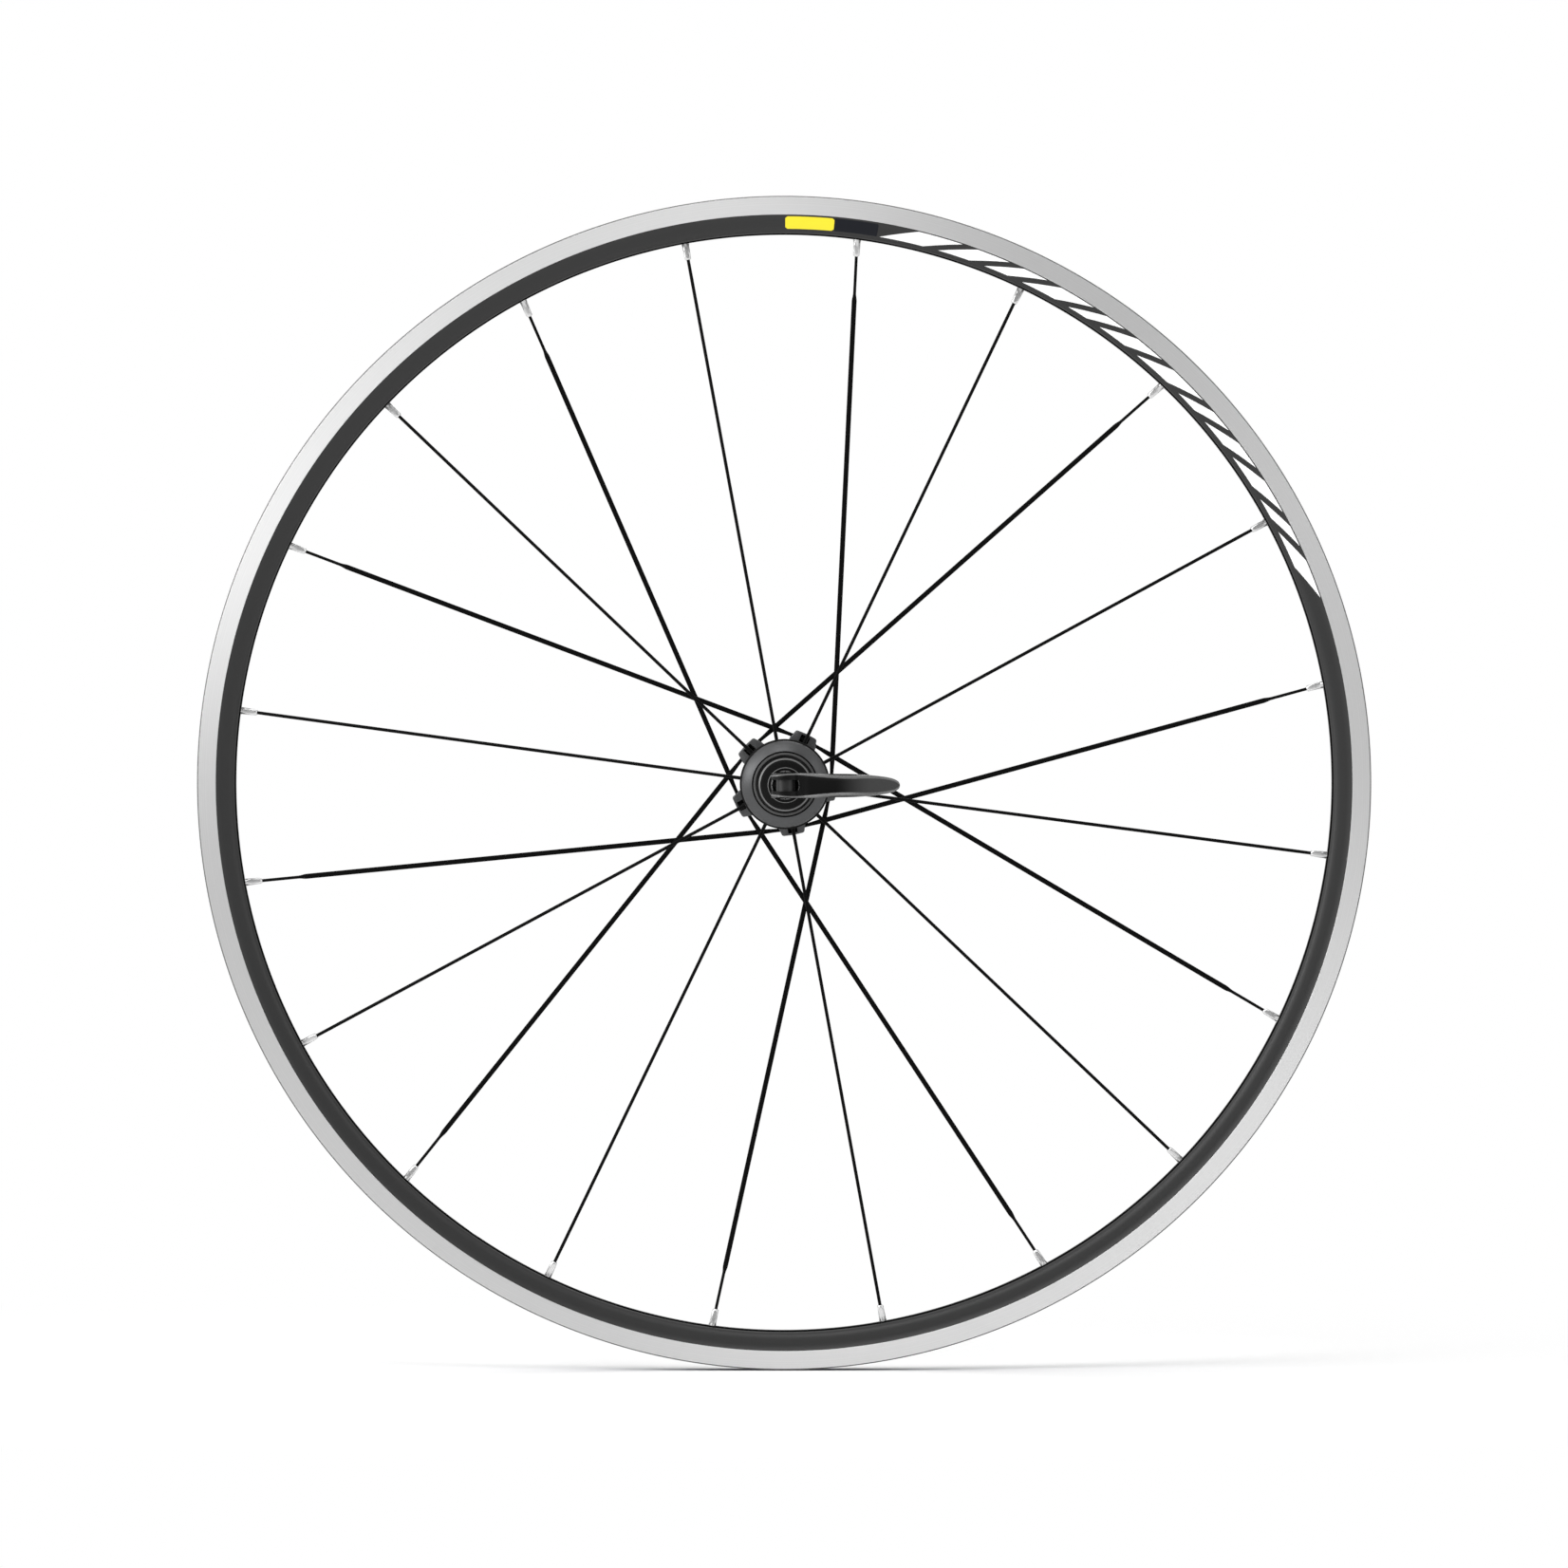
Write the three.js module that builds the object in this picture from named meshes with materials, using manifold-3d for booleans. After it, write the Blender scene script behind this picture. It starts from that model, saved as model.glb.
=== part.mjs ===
// Rear bicycle wheel for rim brakes: a 700C aluminium rim, 20 straight-pull spokes, a 130 mm
// quick-release hub with a freehub, and its skewer. It has no tyre and no sprockets.
// Millimetres. The axle lies along Y: the quick-release lever is at -Y, the drive side at +Y, +Z is up.
// The origin is on the axle, midway between the two faces that meet the frame's dropouts.
import * as THREE from "three";
import { mergeVertices } from "three/addons/utils/BufferGeometryUtils.js";
import Module from "manifold-3d";

const wasm = await Module();
wasm.setup();

// ---- Driving dimensions ----
const GAP = 0.3; // between two pieces that touch

const RIM_OUTER = 316.75;
const RIM_INNER = 295.8;
const RIM_SIDES = 40;
const BEAD_SEAT = 311;
const WELL = 307.6;
const CHAMBER_FLOOR = 297.4;
const SPOKE_COUNT = 20;
const SPOKE_PITCH = 360 / SPOKE_COUNT;
const FIRST_SPOKE = 10.4; // angle of the first rim hole, from +X towards +Z
// The rim's facets straddle its true circle: corners a little outside it, middles a little inside.
const FACET_SPREAD = 1.00147;
const RIM_TURN = -(FIRST_SPOKE + 180 / RIM_SIDES + 90); // puts the middle of a facet at every spoke
const VALVE_ANGLE = FIRST_SPOKE + 12.5 * SPOKE_PITCH;
const VALVE_HOLE_R = 3.25;

const DROPOUT_FACE = 65; // half of the 130 mm between the dropouts
const AXLE_END = 70;
const AXLE_BORE_R = 2.8;
const AXLE_BODY_R = 8.2; // between the two hub bearings, and on into the freehub
const AXLE_NECK_R = 5.7; // under the 12 mm bearings
const AXLE_STUB_R = 4.9; // the 10 mm ends that sit in the dropouts
const AXLE_STEP = 59; // where the neck becomes the stub

const LEFT_FLANGE_R = 24.2;
const LEFT_FLANGE_Y = -37.5; // plane of the radial spokes' heads
const LEFT_BAND_INNER_R = 21.8;
const HUB_SIDES = 32;
const HUB_LEFT_END = -48;
const HUB_RIGHT_END = 24.2;
const DRIVE_FLANGE_R = 22;
const DRIVE_FLANGE = [13.5, 21.8];
const LUG_COUNT = 5;
const LUG_PITCH = 360 / LUG_COUNT;
const FIRST_LUG = FIRST_SPOKE + 3 * SPOKE_PITCH;
const CROSS_TANGENT_R = 25.6; // circle that the crossed spokes' lines touch
const CROSS_Y = { 1: 16.4, "-1": 18.6 }; // the two directions pass each other with room between

const SPOKE_END_R = 299.0; // radius that a spoke's threaded end reaches
const HEAD_R = 1.7;
const HEAD_LENGTH = 1.6;
const SPOKE_NECK_R = 1.0;
const SPOKE_THREAD_R = 0.83;
const RADIAL_R = 0.8;
const BLADE = { halfWidth: 1.25, halfThickness: 0.5 };
const BLADE_END = 35; // from the threaded end back to where the blade starts
const SPOKE_SIDES = 6;
const HOLE_SIDES = 6;

const RATCHET = { teeth: 24, tip: 16.9, root: 18.1, outer: 19.2, y: [14.2, 21.6] };
const RATCHET_BORE_R = RATCHET.outer + GAP;
const PAWL_ANGLES = [40, 220];
const PAWL_PIVOT_R = 12.8;
const PAWL_TIP_ANGLE = 24; // from the pivot's radius to the tip's
const PAWL_Y = [15.4, 20.6];

const BEARING_12 = { inner: 6, outer: 12, width: 6 };
const BEARING_17 = { inner: 8.5, outer: 15, width: 7 };
const LEFT_BEARING_Y = -46.9;
const RIGHT_BEARING_Y = 6.4;
const FREEHUB_BEARING_Y = 44;

const FREEHUB = { end: 60.5, shoulder: 26.4, nose: 14.6, noseR: 14.8, boreR: 9.2 };
const SPLINE = { keys: 9, outer: 17.3, root: 16, halfAngle: 10, narrowHalfAngle: 6.5 };

const QR_FACE = 71.5; // where the skewer's two clamping faces stand with nothing between them
const QR_BASE_R = 9.5;
const SPRING_SEAT_DEPTH = 3.5;
const ROD_R = 2.45;
const ROD_HOLE_R = ROD_R + GAP;
const ROD_END = 79.4;
const BARREL_R = 5;
const CAM_R = 7.8;
const CAM_OFFSET = 0.8; // the clamp opens by twice this when the lever is thrown
const SADDLE_Y = -76.45;
const SADDLE_R = 10;
const SADDLE_HALF_WIDTH = 7.15;
const BARREL_Y = SADDLE_Y - CAM_OFFSET - CAM_R - 0.4;
const FORK_HALF_WIDTH = 6.75;
const SLOT_HALF_WIDTH = 3.1;
const SLOT_END_X = 7.9;
const LEVER_TIP_X = 61.2;

const MATERIALS = {
  machined: new THREE.MeshStandardMaterial({ color: 0xc9c9c9, roughness: 0.35, metalness: 1 }),
  blackRim: new THREE.MeshStandardMaterial({ color: 0x3a3a3a, roughness: 0.5, metalness: 0.6 }),
  hubGrey: new THREE.MeshStandardMaterial({ color: 0x5c5c5c, roughness: 0.4, metalness: 0.7 }),
  blackSteel: new THREE.MeshStandardMaterial({ color: 0x101010, roughness: 0.35, metalness: 0.8 }),
  nickel: new THREE.MeshStandardMaterial({ color: 0xcfcfcf, roughness: 0.25, metalness: 1 }),
  steel: new THREE.MeshStandardMaterial({ color: 0x9a9a9a, roughness: 0.3, metalness: 1 }),
  blackAlloy: new THREE.MeshStandardMaterial({ color: 0x1c1c1c, roughness: 0.3, metalness: 0.6 }),
  tape: new THREE.MeshStandardMaterial({ color: 0x2e4a7a, roughness: 0.7, metalness: 0 }),
};

// ---- Helpers ----
const radians = THREE.MathUtils.degToRad;
const v2 = (x, y) => new THREE.Vector2(x, y);

// A point at a radius and an angle in the wheel's plane, at y along the axle.
function polar(radius, angle, y = 0) {
  const a = radians(angle);
  return new THREE.Vector3(radius * Math.cos(a), y, radius * Math.sin(a));
}

// A closed geometry as a manifold-3d solid.
function solid(geometry) {
  const loose = geometry.index ? geometry.toNonIndexed() : geometry;
  const bare = new THREE.BufferGeometry().setAttribute("position", loose.getAttribute("position"));
  const merged = mergeVertices(bare, 1e-4);
  const mesh = new wasm.Mesh({
    numProp: 3,
    vertProperties: merged.attributes.position.array,
    triVerts: new Uint32Array(merged.index.array),
  });
  return new wasm.Manifold(mesh);
}

function geometryOf(manifold) {
  const mesh = manifold.getMesh();
  const positions = new Float32Array(mesh.numVert * 3);
  for (let i = 0; i < mesh.numVert; i++) {
    const start = i * mesh.numProp;
    positions.set(mesh.vertProperties.subarray(start, start + 3), i * 3);
  }
  const geometry = new THREE.BufferGeometry();
  geometry.setAttribute("position", new THREE.BufferAttribute(positions, 3));
  geometry.setIndex(new THREE.BufferAttribute(new Uint32Array(mesh.triVerts), 1));
  geometry.computeVertexNormals();
  return geometry;
}

// A ring or disc turned round the axle, from its [radius, y] outline. startAngle turns the facets.
function turned(outline, sides = 24, startAngle = 0) {
  const area = outline.reduce((sum, [r, y], i) => {
    const [nextR, nextY] = outline[(i + 1) % outline.length];
    return sum + r * nextY - nextR * y;
  }, 0);
  const ordered = area > 0 ? outline : [...outline].reverse();
  const points = ordered.map(([r, y]) => v2(r, y));
  const onAxis = ordered[0][0] === 0 && ordered.at(-1)[0] === 0;
  if (!onAxis) points.push(points[0].clone());
  return new THREE.LatheGeometry(points, sides).rotateY(radians(startAngle));
}

// A plain ring between two radii and two places along the axle.
function ring(inner, outer, y0, y1, sides = 24) {
  return turned([[inner, y0], [outer, y0], [outer, y1], [inner, y1]], sides);
}

// An outline in X and Z, given thickness from y0 to y1.
function plateAlongY(shape, y0, y1) {
  const plate = new THREE.ExtrudeGeometry(shape, { depth: y1 - y0, bevelEnabled: false, curveSegments: 6 });
  return plate.rotateX(Math.PI / 2).translate(0, y1, 0);
}

// A cylinder from one point to another, as a cutter.
function drill(from, to, radius, sides = HOLE_SIDES) {
  const axis = to.clone().sub(from);
  const cylinder = new THREE.CylinderGeometry(radius, radius, axis.length(), sides);
  const turn = new THREE.Quaternion().setFromUnitVectors(new THREE.Vector3(0, 1, 0), axis.clone().normalize());
  cylinder.applyQuaternion(turn).translate(...from.clone().add(to).multiplyScalar(0.5).toArray());
  return solid(cylinder);
}

// A closed body along +Y through elliptical sections, each [distance, halfWidth in X, halfThickness in Z].
function loft(sections, sides) {
  const positions = [];
  sections.forEach(([distance, a, b]) => {
    for (let i = 0; i < sides; i++) {
      const t = (2 * Math.PI * i) / sides;
      positions.push(a * Math.cos(t), distance, b * Math.sin(t));
    }
  });
  const index = [];
  for (let k = 0; k + 1 < sections.length; k++) {
    for (let i = 0; i < sides; i++) {
      const a = k * sides + i;
      const b = k * sides + ((i + 1) % sides);
      index.push(a, a + sides, b, b, a + sides, b + sides);
    }
  }
  const last = (sections.length - 1) * sides;
  for (let i = 1; i + 1 < sides; i++) {
    index.push(0, i, i + 1);
    index.push(last, last + i + 1, last + i);
  }
  const geometry = new THREE.BufferGeometry();
  geometry.setAttribute("position", new THREE.Float32BufferAttribute(positions, 3));
  geometry.setIndex(index);
  geometry.computeVertexNormals();
  return geometry;
}

const wheel = new THREE.Group();

function add(name, geometry, material) {
  const mesh = new THREE.Mesh(geometry, material);
  mesh.name = name;
  wheel.add(mesh);
  return mesh;
}

// Stands a body made along +Y on a line, with its thin side towards the axle's direction.
function standOn(mesh, from, direction) {
  const along = direction.clone().normalize();
  const wide = new THREE.Vector3().crossVectors(along, new THREE.Vector3(0, 1, 0)).normalize();
  const thin = new THREE.Vector3().crossVectors(wide, along);
  mesh.quaternion.setFromRotationMatrix(new THREE.Matrix4().makeBasis(wide, along, thin));
  mesh.position.copy(from);
}

// ---- Spoke lines ----
// Ten round spokes run straight out from the left flange, and ten bladed ones leave the five lugs
// of the drive flange in pairs, each nearly square to its lug's radius.
function radialLine(k) {
  const angle = FIRST_SPOKE + SPOKE_PITCH + 2 * SPOKE_PITCH * k;
  return { from: polar(19.7, angle, LEFT_FLANGE_Y), to: polar(SPOKE_END_R, angle, 0) };
}

// side is 1 for the spoke that leaves its lug counterclockwise, and -1 for the other.
function crossedLine(lug, side) {
  const sweep = THREE.MathUtils.radToDeg(Math.acos(CROSS_TANGENT_R / SPOKE_END_R));
  const footAngle = FIRST_LUG + lug * LUG_PITCH + side * (90 - sweep);
  const foot = polar(CROSS_TANGENT_R, footAngle);
  const along = polar(side, footAngle + 90);
  const reach = Math.sqrt(SPOKE_END_R ** 2 - CROSS_TANGENT_R ** 2);
  const headBehindFoot = 1.46;
  const from = foot.clone().addScaledVector(along, -headBehindFoot).setY(CROSS_Y[side]);
  return { from, to: foot.clone().addScaledVector(along, reach) };
}

const lengthOf = ({ from, to }) => from.distanceTo(to);
const directionOf = ({ from, to }) => to.clone().sub(from).normalize();
const pointOn = (line, distance) => line.from.clone().addScaledVector(directionOf(line), distance);

const radialLines = Array.from({ length: SPOKE_COUNT / 2 }, (_, k) => radialLine(k));
const crossedLines = Array.from({ length: LUG_COUNT }, (_, lug) => [1, -1].map((side) => crossedLine(lug, side))).flat();
const allLines = [...radialLines, ...crossedLines];

// ---- Rim ----
function mirrored(half) {
  const spread = half.map(([r, y]) => [r * FACET_SPREAD, y]);
  return [...spread, ...spread.map(([r, y]) => [r, -y]).reverse()];
}

function rim() {
  const skin = mirrored([
    [RIM_INNER, 5.6], [298.2, 8.6], [306.4, 10.5], [306.6, 10.75],
    [RIM_OUTER, 10.75], [RIM_OUTER, 8.6], [BEAD_SEAT, 8.6], [WELL, 6.1],
  ]);
  const chamber = mirrored([[CHAMBER_FLOOR, 5.4], [299.3, 7.3], [308.6, 9.1], [306.3, 5.4]]);
  let body = solid(turned(skin, RIM_SIDES, RIM_TURN)).subtract(solid(turned(chamber, RIM_SIDES, RIM_TURN)));
  for (const line of allLines) {
    const length = lengthOf(line);
    const nippleHole = drill(pointOn(line, length - 6), pointOn(line, length + 2), 2.6);
    const toolHole = drill(pointOn(line, length + 3), pointOn(line, length + 15), 4.4);
    body = body.subtract(nippleHole).subtract(toolHole);
  }
  const valveHole = drill(polar(290, VALVE_ANGLE), polar(320, VALVE_ANGLE), VALVE_HOLE_R);
  return geometryOf(body.subtract(valveHole));
}

function rimTape() {
  const inner = (WELL + GAP) * FACET_SPREAD;
  const tape = ring(inner, inner + 0.6, -5.8, 5.8, RIM_SIDES).rotateY(radians(RIM_TURN));
  const valveHole = drill(polar(300, VALVE_ANGLE), polar(320, VALVE_ANGLE), VALVE_HOLE_R);
  return geometryOf(solid(tape).subtract(valveHole));
}

add("rim", rim(), MATERIALS.machined);
add("rim_tape", rimTape(), MATERIALS.tape);

// ---- Spokes and nipples ----
function roundSpoke(length) {
  return loft([
    [0, HEAD_R, HEAD_R], [HEAD_LENGTH, HEAD_R, HEAD_R], [HEAD_LENGTH, SPOKE_NECK_R, SPOKE_NECK_R],
    [8, SPOKE_NECK_R, SPOKE_NECK_R], [14, RADIAL_R, RADIAL_R],
    [length - 24, RADIAL_R, RADIAL_R], [length, SPOKE_THREAD_R, SPOKE_THREAD_R],
  ], SPOKE_SIDES);
}

function bladedSpoke(length) {
  const { halfWidth, halfThickness } = BLADE;
  return loft([
    [0, HEAD_R, HEAD_R], [HEAD_LENGTH, HEAD_R, HEAD_R], [HEAD_LENGTH, SPOKE_NECK_R, SPOKE_NECK_R],
    [7.5, SPOKE_NECK_R, SPOKE_NECK_R], [17, halfWidth, halfThickness],
    [length - BLADE_END, halfWidth, halfThickness],
    [length - BLADE_END + 4, SPOKE_THREAD_R, SPOKE_THREAD_R], [length, SPOKE_THREAD_R, SPOKE_THREAD_R],
  ], SPOKE_SIDES);
}

// The nipple stands on the spoke's line: its head is inside the rim, and its square shank points in.
function nipple() {
  const bore = SPOKE_THREAD_R + GAP;
  return turned([
    [bore, 0], [3.1, 0.6], [3.1, 2.2], [2.05, 2.3], [2.05, 4.9],
    [1.8, 5.2], [1.8, 11.9], [bore, 13.2],
  ], SPOKE_SIDES);
}

const NIPPLE_ABOVE_END = 0.9; // the nipple's top stands this far past the spoke's end
const twoDigits = (n) => String(n).padStart(2, "0");

function addSpoke(kind, number, line, geometry) {
  standOn(add(`spoke_${kind}_${twoDigits(number)}`, geometry, MATERIALS.blackSteel), line.from, directionOf(line));
}

radialLines.forEach((line, k) => addSpoke("radial", k + 1, line, roundSpoke(lengthOf(line))));
crossedLines.forEach((line, k) => addSpoke("crossed", k + 1, line, bladedSpoke(lengthOf(line))));
allLines.forEach((line, k) => {
  const top = pointOn(line, lengthOf(line) + NIPPLE_ABOVE_END);
  standOn(add(`nipple_${twoDigits(k + 1)}`, nipple(), MATERIALS.nickel), top, directionOf(line).negate());
});

// ---- Hub shell ----
function lug(angle) {
  const outline = [[18, 7.7], [23.7, 7.6], [28.3, 5.9], [28.9, 0], [28.3, -5.9], [23.7, -7.6], [18, -7.7]];
  const shape = new THREE.Shape(outline.map(([u, v]) => v2(u, v)));
  const block = plateAlongY(shape, ...DRIVE_FLANGE).rotateY(-radians(angle));
  return solid(block);
}

// The pocket in a lug that takes the two spoke heads, open towards the lever side.
function lugWindow(angle) {
  const window = new THREE.BoxGeometry(5, 8, 5.2).translate(25.3, 16.65, 0).rotateY(-radians(angle));
  return solid(window);
}

function hubShell() {
  const core = turned([
    [12.3, HUB_LEFT_END], [16.7, HUB_LEFT_END], [20.6, -45.6], [23.2, -42.8],
    [LEFT_FLANGE_R, -41], [LEFT_FLANGE_R, -34], [LEFT_BAND_INNER_R, -34], [LEFT_BAND_INNER_R, -39.4],
    [17.4, -39.4], [13.4, -30], [13.4, -6], [17.6, 6.5], [19.6, DRIVE_FLANGE[0]],
    [DRIVE_FLANGE_R, DRIVE_FLANGE[0]], [DRIVE_FLANGE_R, HUB_RIGHT_END], [RATCHET_BORE_R, HUB_RIGHT_END],
    [RATCHET_BORE_R, 13.7], [15.3, 13.7], [15.3, RIGHT_BEARING_Y - GAP], [11, RIGHT_BEARING_Y - GAP],
    [11, -40.6], [12.3, -40.6],
  ], HUB_SIDES);
  let shell = solid(core);
  for (let k = 0; k < LUG_COUNT; k++) {
    const lugBody = lug(FIRST_LUG + k * LUG_PITCH).subtract(solid(ring(1, RATCHET_BORE_R, 0, 30, HUB_SIDES)));
    shell = shell.add(lugBody).subtract(lugWindow(FIRST_LUG + k * LUG_PITCH));
  }
  for (const line of radialLines) {
    shell = shell.subtract(drill(pointOn(line, 1), pointOn(line, 8), SPOKE_NECK_R + GAP));
  }
  for (const line of crossedLines) {
    shell = shell.subtract(drill(pointOn(line, 1), pointOn(line, 10), SPOKE_NECK_R + GAP));
  }
  return geometryOf(shell);
}

add("hub_shell", hubShell(), MATERIALS.hubGrey);

// ---- Freehub clutch ----
// Saw teeth: each drive face looks back at the pawls, and the ramp behind it lets them slip.
function ratchetRing() {
  const pitch = 360 / RATCHET.teeth;
  const driveFace = PAWL_ANGLES[0] + PAWL_TIP_ANGLE + 2.1;
  const hole = new THREE.Path();
  for (let k = 0; k < RATCHET.teeth; k++) {
    const at = radians(driveFace + k * pitch);
    const before = v2(RATCHET.root * Math.cos(at), RATCHET.root * Math.sin(at));
    const after = v2(RATCHET.tip * Math.cos(at), RATCHET.tip * Math.sin(at));
    if (k === 0) hole.moveTo(before.x, before.y);
    else hole.lineTo(before.x, before.y);
    hole.lineTo(after.x, after.y);
  }
  hole.closePath();
  const shape = new THREE.Shape();
  const sides = RATCHET.teeth;
  for (let k = 0; k < sides; k++) {
    const at = (2 * Math.PI * k) / sides;
    const corner = [RATCHET.outer * Math.cos(at), RATCHET.outer * Math.sin(at)];
    if (k === 0) shape.moveTo(...corner);
    else shape.lineTo(...corner);
  }
  shape.holes.push(hole);
  return plateAlongY(shape, ...RATCHET.y);
}

// A pawl in its own frame: X runs out along the pivot's radius, Z along the drive direction.
const PAWL_TURN = (angle) => -radians(angle);

function pawl(angle) {
  const outline = [[11.5, -0.8], [11.3, 0.2], [11.5, 0.9], [14.9, 6.6], [16.2, 7.0], [14.3, 0.3], [13.9, -1.0], [12.8, -1.5]];
  const shape = new THREE.Shape(outline.map(([u, v]) => v2(u, v)));
  return plateAlongY(shape, ...PAWL_Y).rotateY(PAWL_TURN(angle));
}

function pawlPocket(angle) {
  const outline = [[13.2, -2.3], [11.4, -1.5], [10.9, 0], [11.3, 1.4], [11.7, 9.4], [18, 9.4], [18, -2.3]];
  const shape = new THREE.Shape(outline.map(([u, v]) => v2(u, v)));
  return solid(plateAlongY(shape, PAWL_Y[0] - GAP, PAWL_Y[1] + GAP).rotateY(PAWL_TURN(angle)));
}

function freehubBody() {
  const splines = new THREE.Shape();
  for (let k = 0; k < SPLINE.keys; k++) {
    const middle = (360 / SPLINE.keys) * k;
    const half = k === 0 ? SPLINE.narrowHalfAngle : SPLINE.halfAngle;
    const corners = [[SPLINE.root, -half], [SPLINE.outer, -half], [SPLINE.outer, half], [SPLINE.root, half]];
    for (const [r, offset] of corners) {
      const at = radians(middle + offset);
      const corner = [r * Math.cos(at), r * Math.sin(at)];
      if (k === 0 && r === SPLINE.root && offset < 0) splines.moveTo(...corner);
      else splines.lineTo(...corner);
    }
  }
  const carrier = solid(plateAlongY(splines, FREEHUB.shoulder - 0.5, FREEHUB.end));
  const nose = solid(turned([
    [0, FREEHUB.nose], [FREEHUB.noseR, FREEHUB.nose], [FREEHUB.noseR, 24.6], [21.4, 24.6],
    [21.4, FREEHUB.shoulder], [0, FREEHUB.shoulder],
  ], 24));
  const bores = solid(turned([
    [0, 10], [FREEHUB.boreR, 10], [FREEHUB.boreR, FREEHUB_BEARING_Y - GAP], [12.3, FREEHUB_BEARING_Y - GAP],
    [12.3, 52], [14.6, 52], [14.6, 62], [0, 62],
  ], 24));
  const pockets = PAWL_ANGLES.map(pawlPocket);
  return geometryOf(pockets.reduce((body, pocket) => body.subtract(pocket), carrier.add(nose).subtract(bores)));
}

add("ratchet_ring", ratchetRing(), MATERIALS.steel);
add("freehub_body", freehubBody(), MATERIALS.steel);
PAWL_ANGLES.forEach((angle, k) => add(`pawl_${k + 1}`, pawl(angle), MATERIALS.steel));

// ---- Bearings, axle and end caps ----
function bearing({ inner, outer, width }, y) {
  return ring(inner, outer, y, y + width, 24);
}

function axle() {
  return turned([
    [AXLE_BORE_R, -AXLE_END], [AXLE_STUB_R, -AXLE_END], [AXLE_STUB_R, -AXLE_STEP], [AXLE_NECK_R, -AXLE_STEP],
    [AXLE_NECK_R, -40.6], [AXLE_BODY_R, -40.6], [AXLE_BODY_R, 2], [9.8, 2], [9.8, RIGHT_BEARING_Y - GAP],
    [AXLE_BODY_R, RIGHT_BEARING_Y - GAP], [AXLE_BODY_R, FREEHUB_BEARING_Y - GAP],
    [AXLE_NECK_R, FREEHUB_BEARING_Y - GAP], [AXLE_NECK_R, AXLE_STEP], [AXLE_STUB_R, AXLE_STEP],
    [AXLE_STUB_R, AXLE_END], [AXLE_BORE_R, AXLE_END],
  ], 16);
}

// The left cap screws up against the bearing to set its play; its flat face meets the dropout.
function endCapLeft() {
  return turned([
    [AXLE_NECK_R + GAP, -47.2], [8, -47.2], [8, -48.6], [14.2, -48.6], [14.2, -64.1],
    [13.2, -DROPOUT_FACE], [AXLE_STUB_R + GAP, -DROPOUT_FACE],
    [AXLE_STUB_R + GAP, -AXLE_STEP - GAP], [AXLE_NECK_R + GAP, -AXLE_STEP - GAP],
  ], 24);
}

function endCapRight() {
  return turned([
    [AXLE_NECK_R + GAP, 50.3], [8, 50.3], [8, 52], [11.6, 52], [11.6, 64.4],
    [11, DROPOUT_FACE], [AXLE_STUB_R + GAP, DROPOUT_FACE], [AXLE_STUB_R + GAP, AXLE_STEP + GAP],
    [AXLE_NECK_R + GAP, AXLE_STEP + GAP],
  ], 24);
}

add("bearing_left", bearing(BEARING_12, LEFT_BEARING_Y), MATERIALS.steel);
add("bearing_right", bearing(BEARING_17, RIGHT_BEARING_Y), MATERIALS.steel);
add("bearing_freehub", bearing(BEARING_12, FREEHUB_BEARING_Y), MATERIALS.steel);
add("axle", axle(), MATERIALS.steel);
add("end_cap_left", endCapLeft(), MATERIALS.blackAlloy);
add("end_cap_right", endCapRight(), MATERIALS.blackAlloy);

// ---- Quick-release skewer ----
function skewerRod() {
  return turned([[0, BARREL_Y - 1.6], [ROD_R, BARREL_Y - 1.6], [ROD_R, ROD_END - 0.6], [ROD_R - 0.6, ROD_END], [0, ROD_END]], 12);
}

// A cylinder across the axle that the lever swings on; the rod screws into its middle.
function barrel() {
  const body = new THREE.CylinderGeometry(BARREL_R, BARREL_R, 12.8, 24).rotateX(Math.PI / 2).translate(0, BARREL_Y, 0);
  const rodHole = drill(new THREE.Vector3(0, BARREL_Y - 2, 0), new THREE.Vector3(0, BARREL_Y + 8, 0), ROD_HOLE_R, 12);
  return geometryOf(solid(body).subtract(rodHole));
}

// The cam's saddle: a cup for the spring on the wheel side, and a hollow for the two cams outside.
function clampBase() {
  const cup = turned([
    [ROD_HOLE_R, -75], [7.6, -75], [7.6, -QR_FACE], [QR_BASE_R, -QR_FACE], [QR_BASE_R, -78.4], [8.4, -79],
    [ROD_HOLE_R, -79],
  ], 24);
  const saddle = new THREE.CylinderGeometry(SADDLE_R, SADDLE_R, 2 * SADDLE_HALF_WIDTH, 36).rotateX(Math.PI / 2);
  saddle.translate(0, SADDLE_Y - SADDLE_R, 0);
  return geometryOf(solid(cup).subtract(solid(saddle)));
}

// Side view of the lever, with X along it and Y measured from the barrel's axis; -Y is outwards.
function leverSide() {
  const shape = new THREE.Shape();
  shape.moveTo(7.0, 4.25);
  shape.absarc(0, CAM_OFFSET, CAM_R, 0.458, -0.61, false);
  shape.splineThru([v2(9.4, -4.6), v2(13, -5.6), v2(23, -5.4), v2(37, -4.3), v2(49, -2), v2(59, 2.1)]);
  shape.quadraticCurveTo(LEVER_TIP_X, 3.2, LEVER_TIP_X, 4.2);
  shape.quadraticCurveTo(60.3, 5.0, 59, 4.7);
  shape.splineThru([v2(47, 1.2), v2(35, -1.2), v2(23, -1.8), v2(13, -0.6), v2(7.0, 4.25)]);
  return shape;
}

// Front view of the lever: the fork, a slim waist and a thumb paddle.
function leverFront() {
  const edge = [v2(-12, FORK_HALF_WIDTH), v2(13, FORK_HALF_WIDTH), v2(19, 6.45), v2(35, 6.3), v2(43, 5.9),
    v2(51, 4.95), v2(56, 4.1), v2(59.5, 2.9), v2(LEVER_TIP_X, 0.8)];
  const other = edge.map(({ x, y }) => v2(x, -y)).reverse();
  return new THREE.Shape([...edge, ...other]);
}

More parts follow.
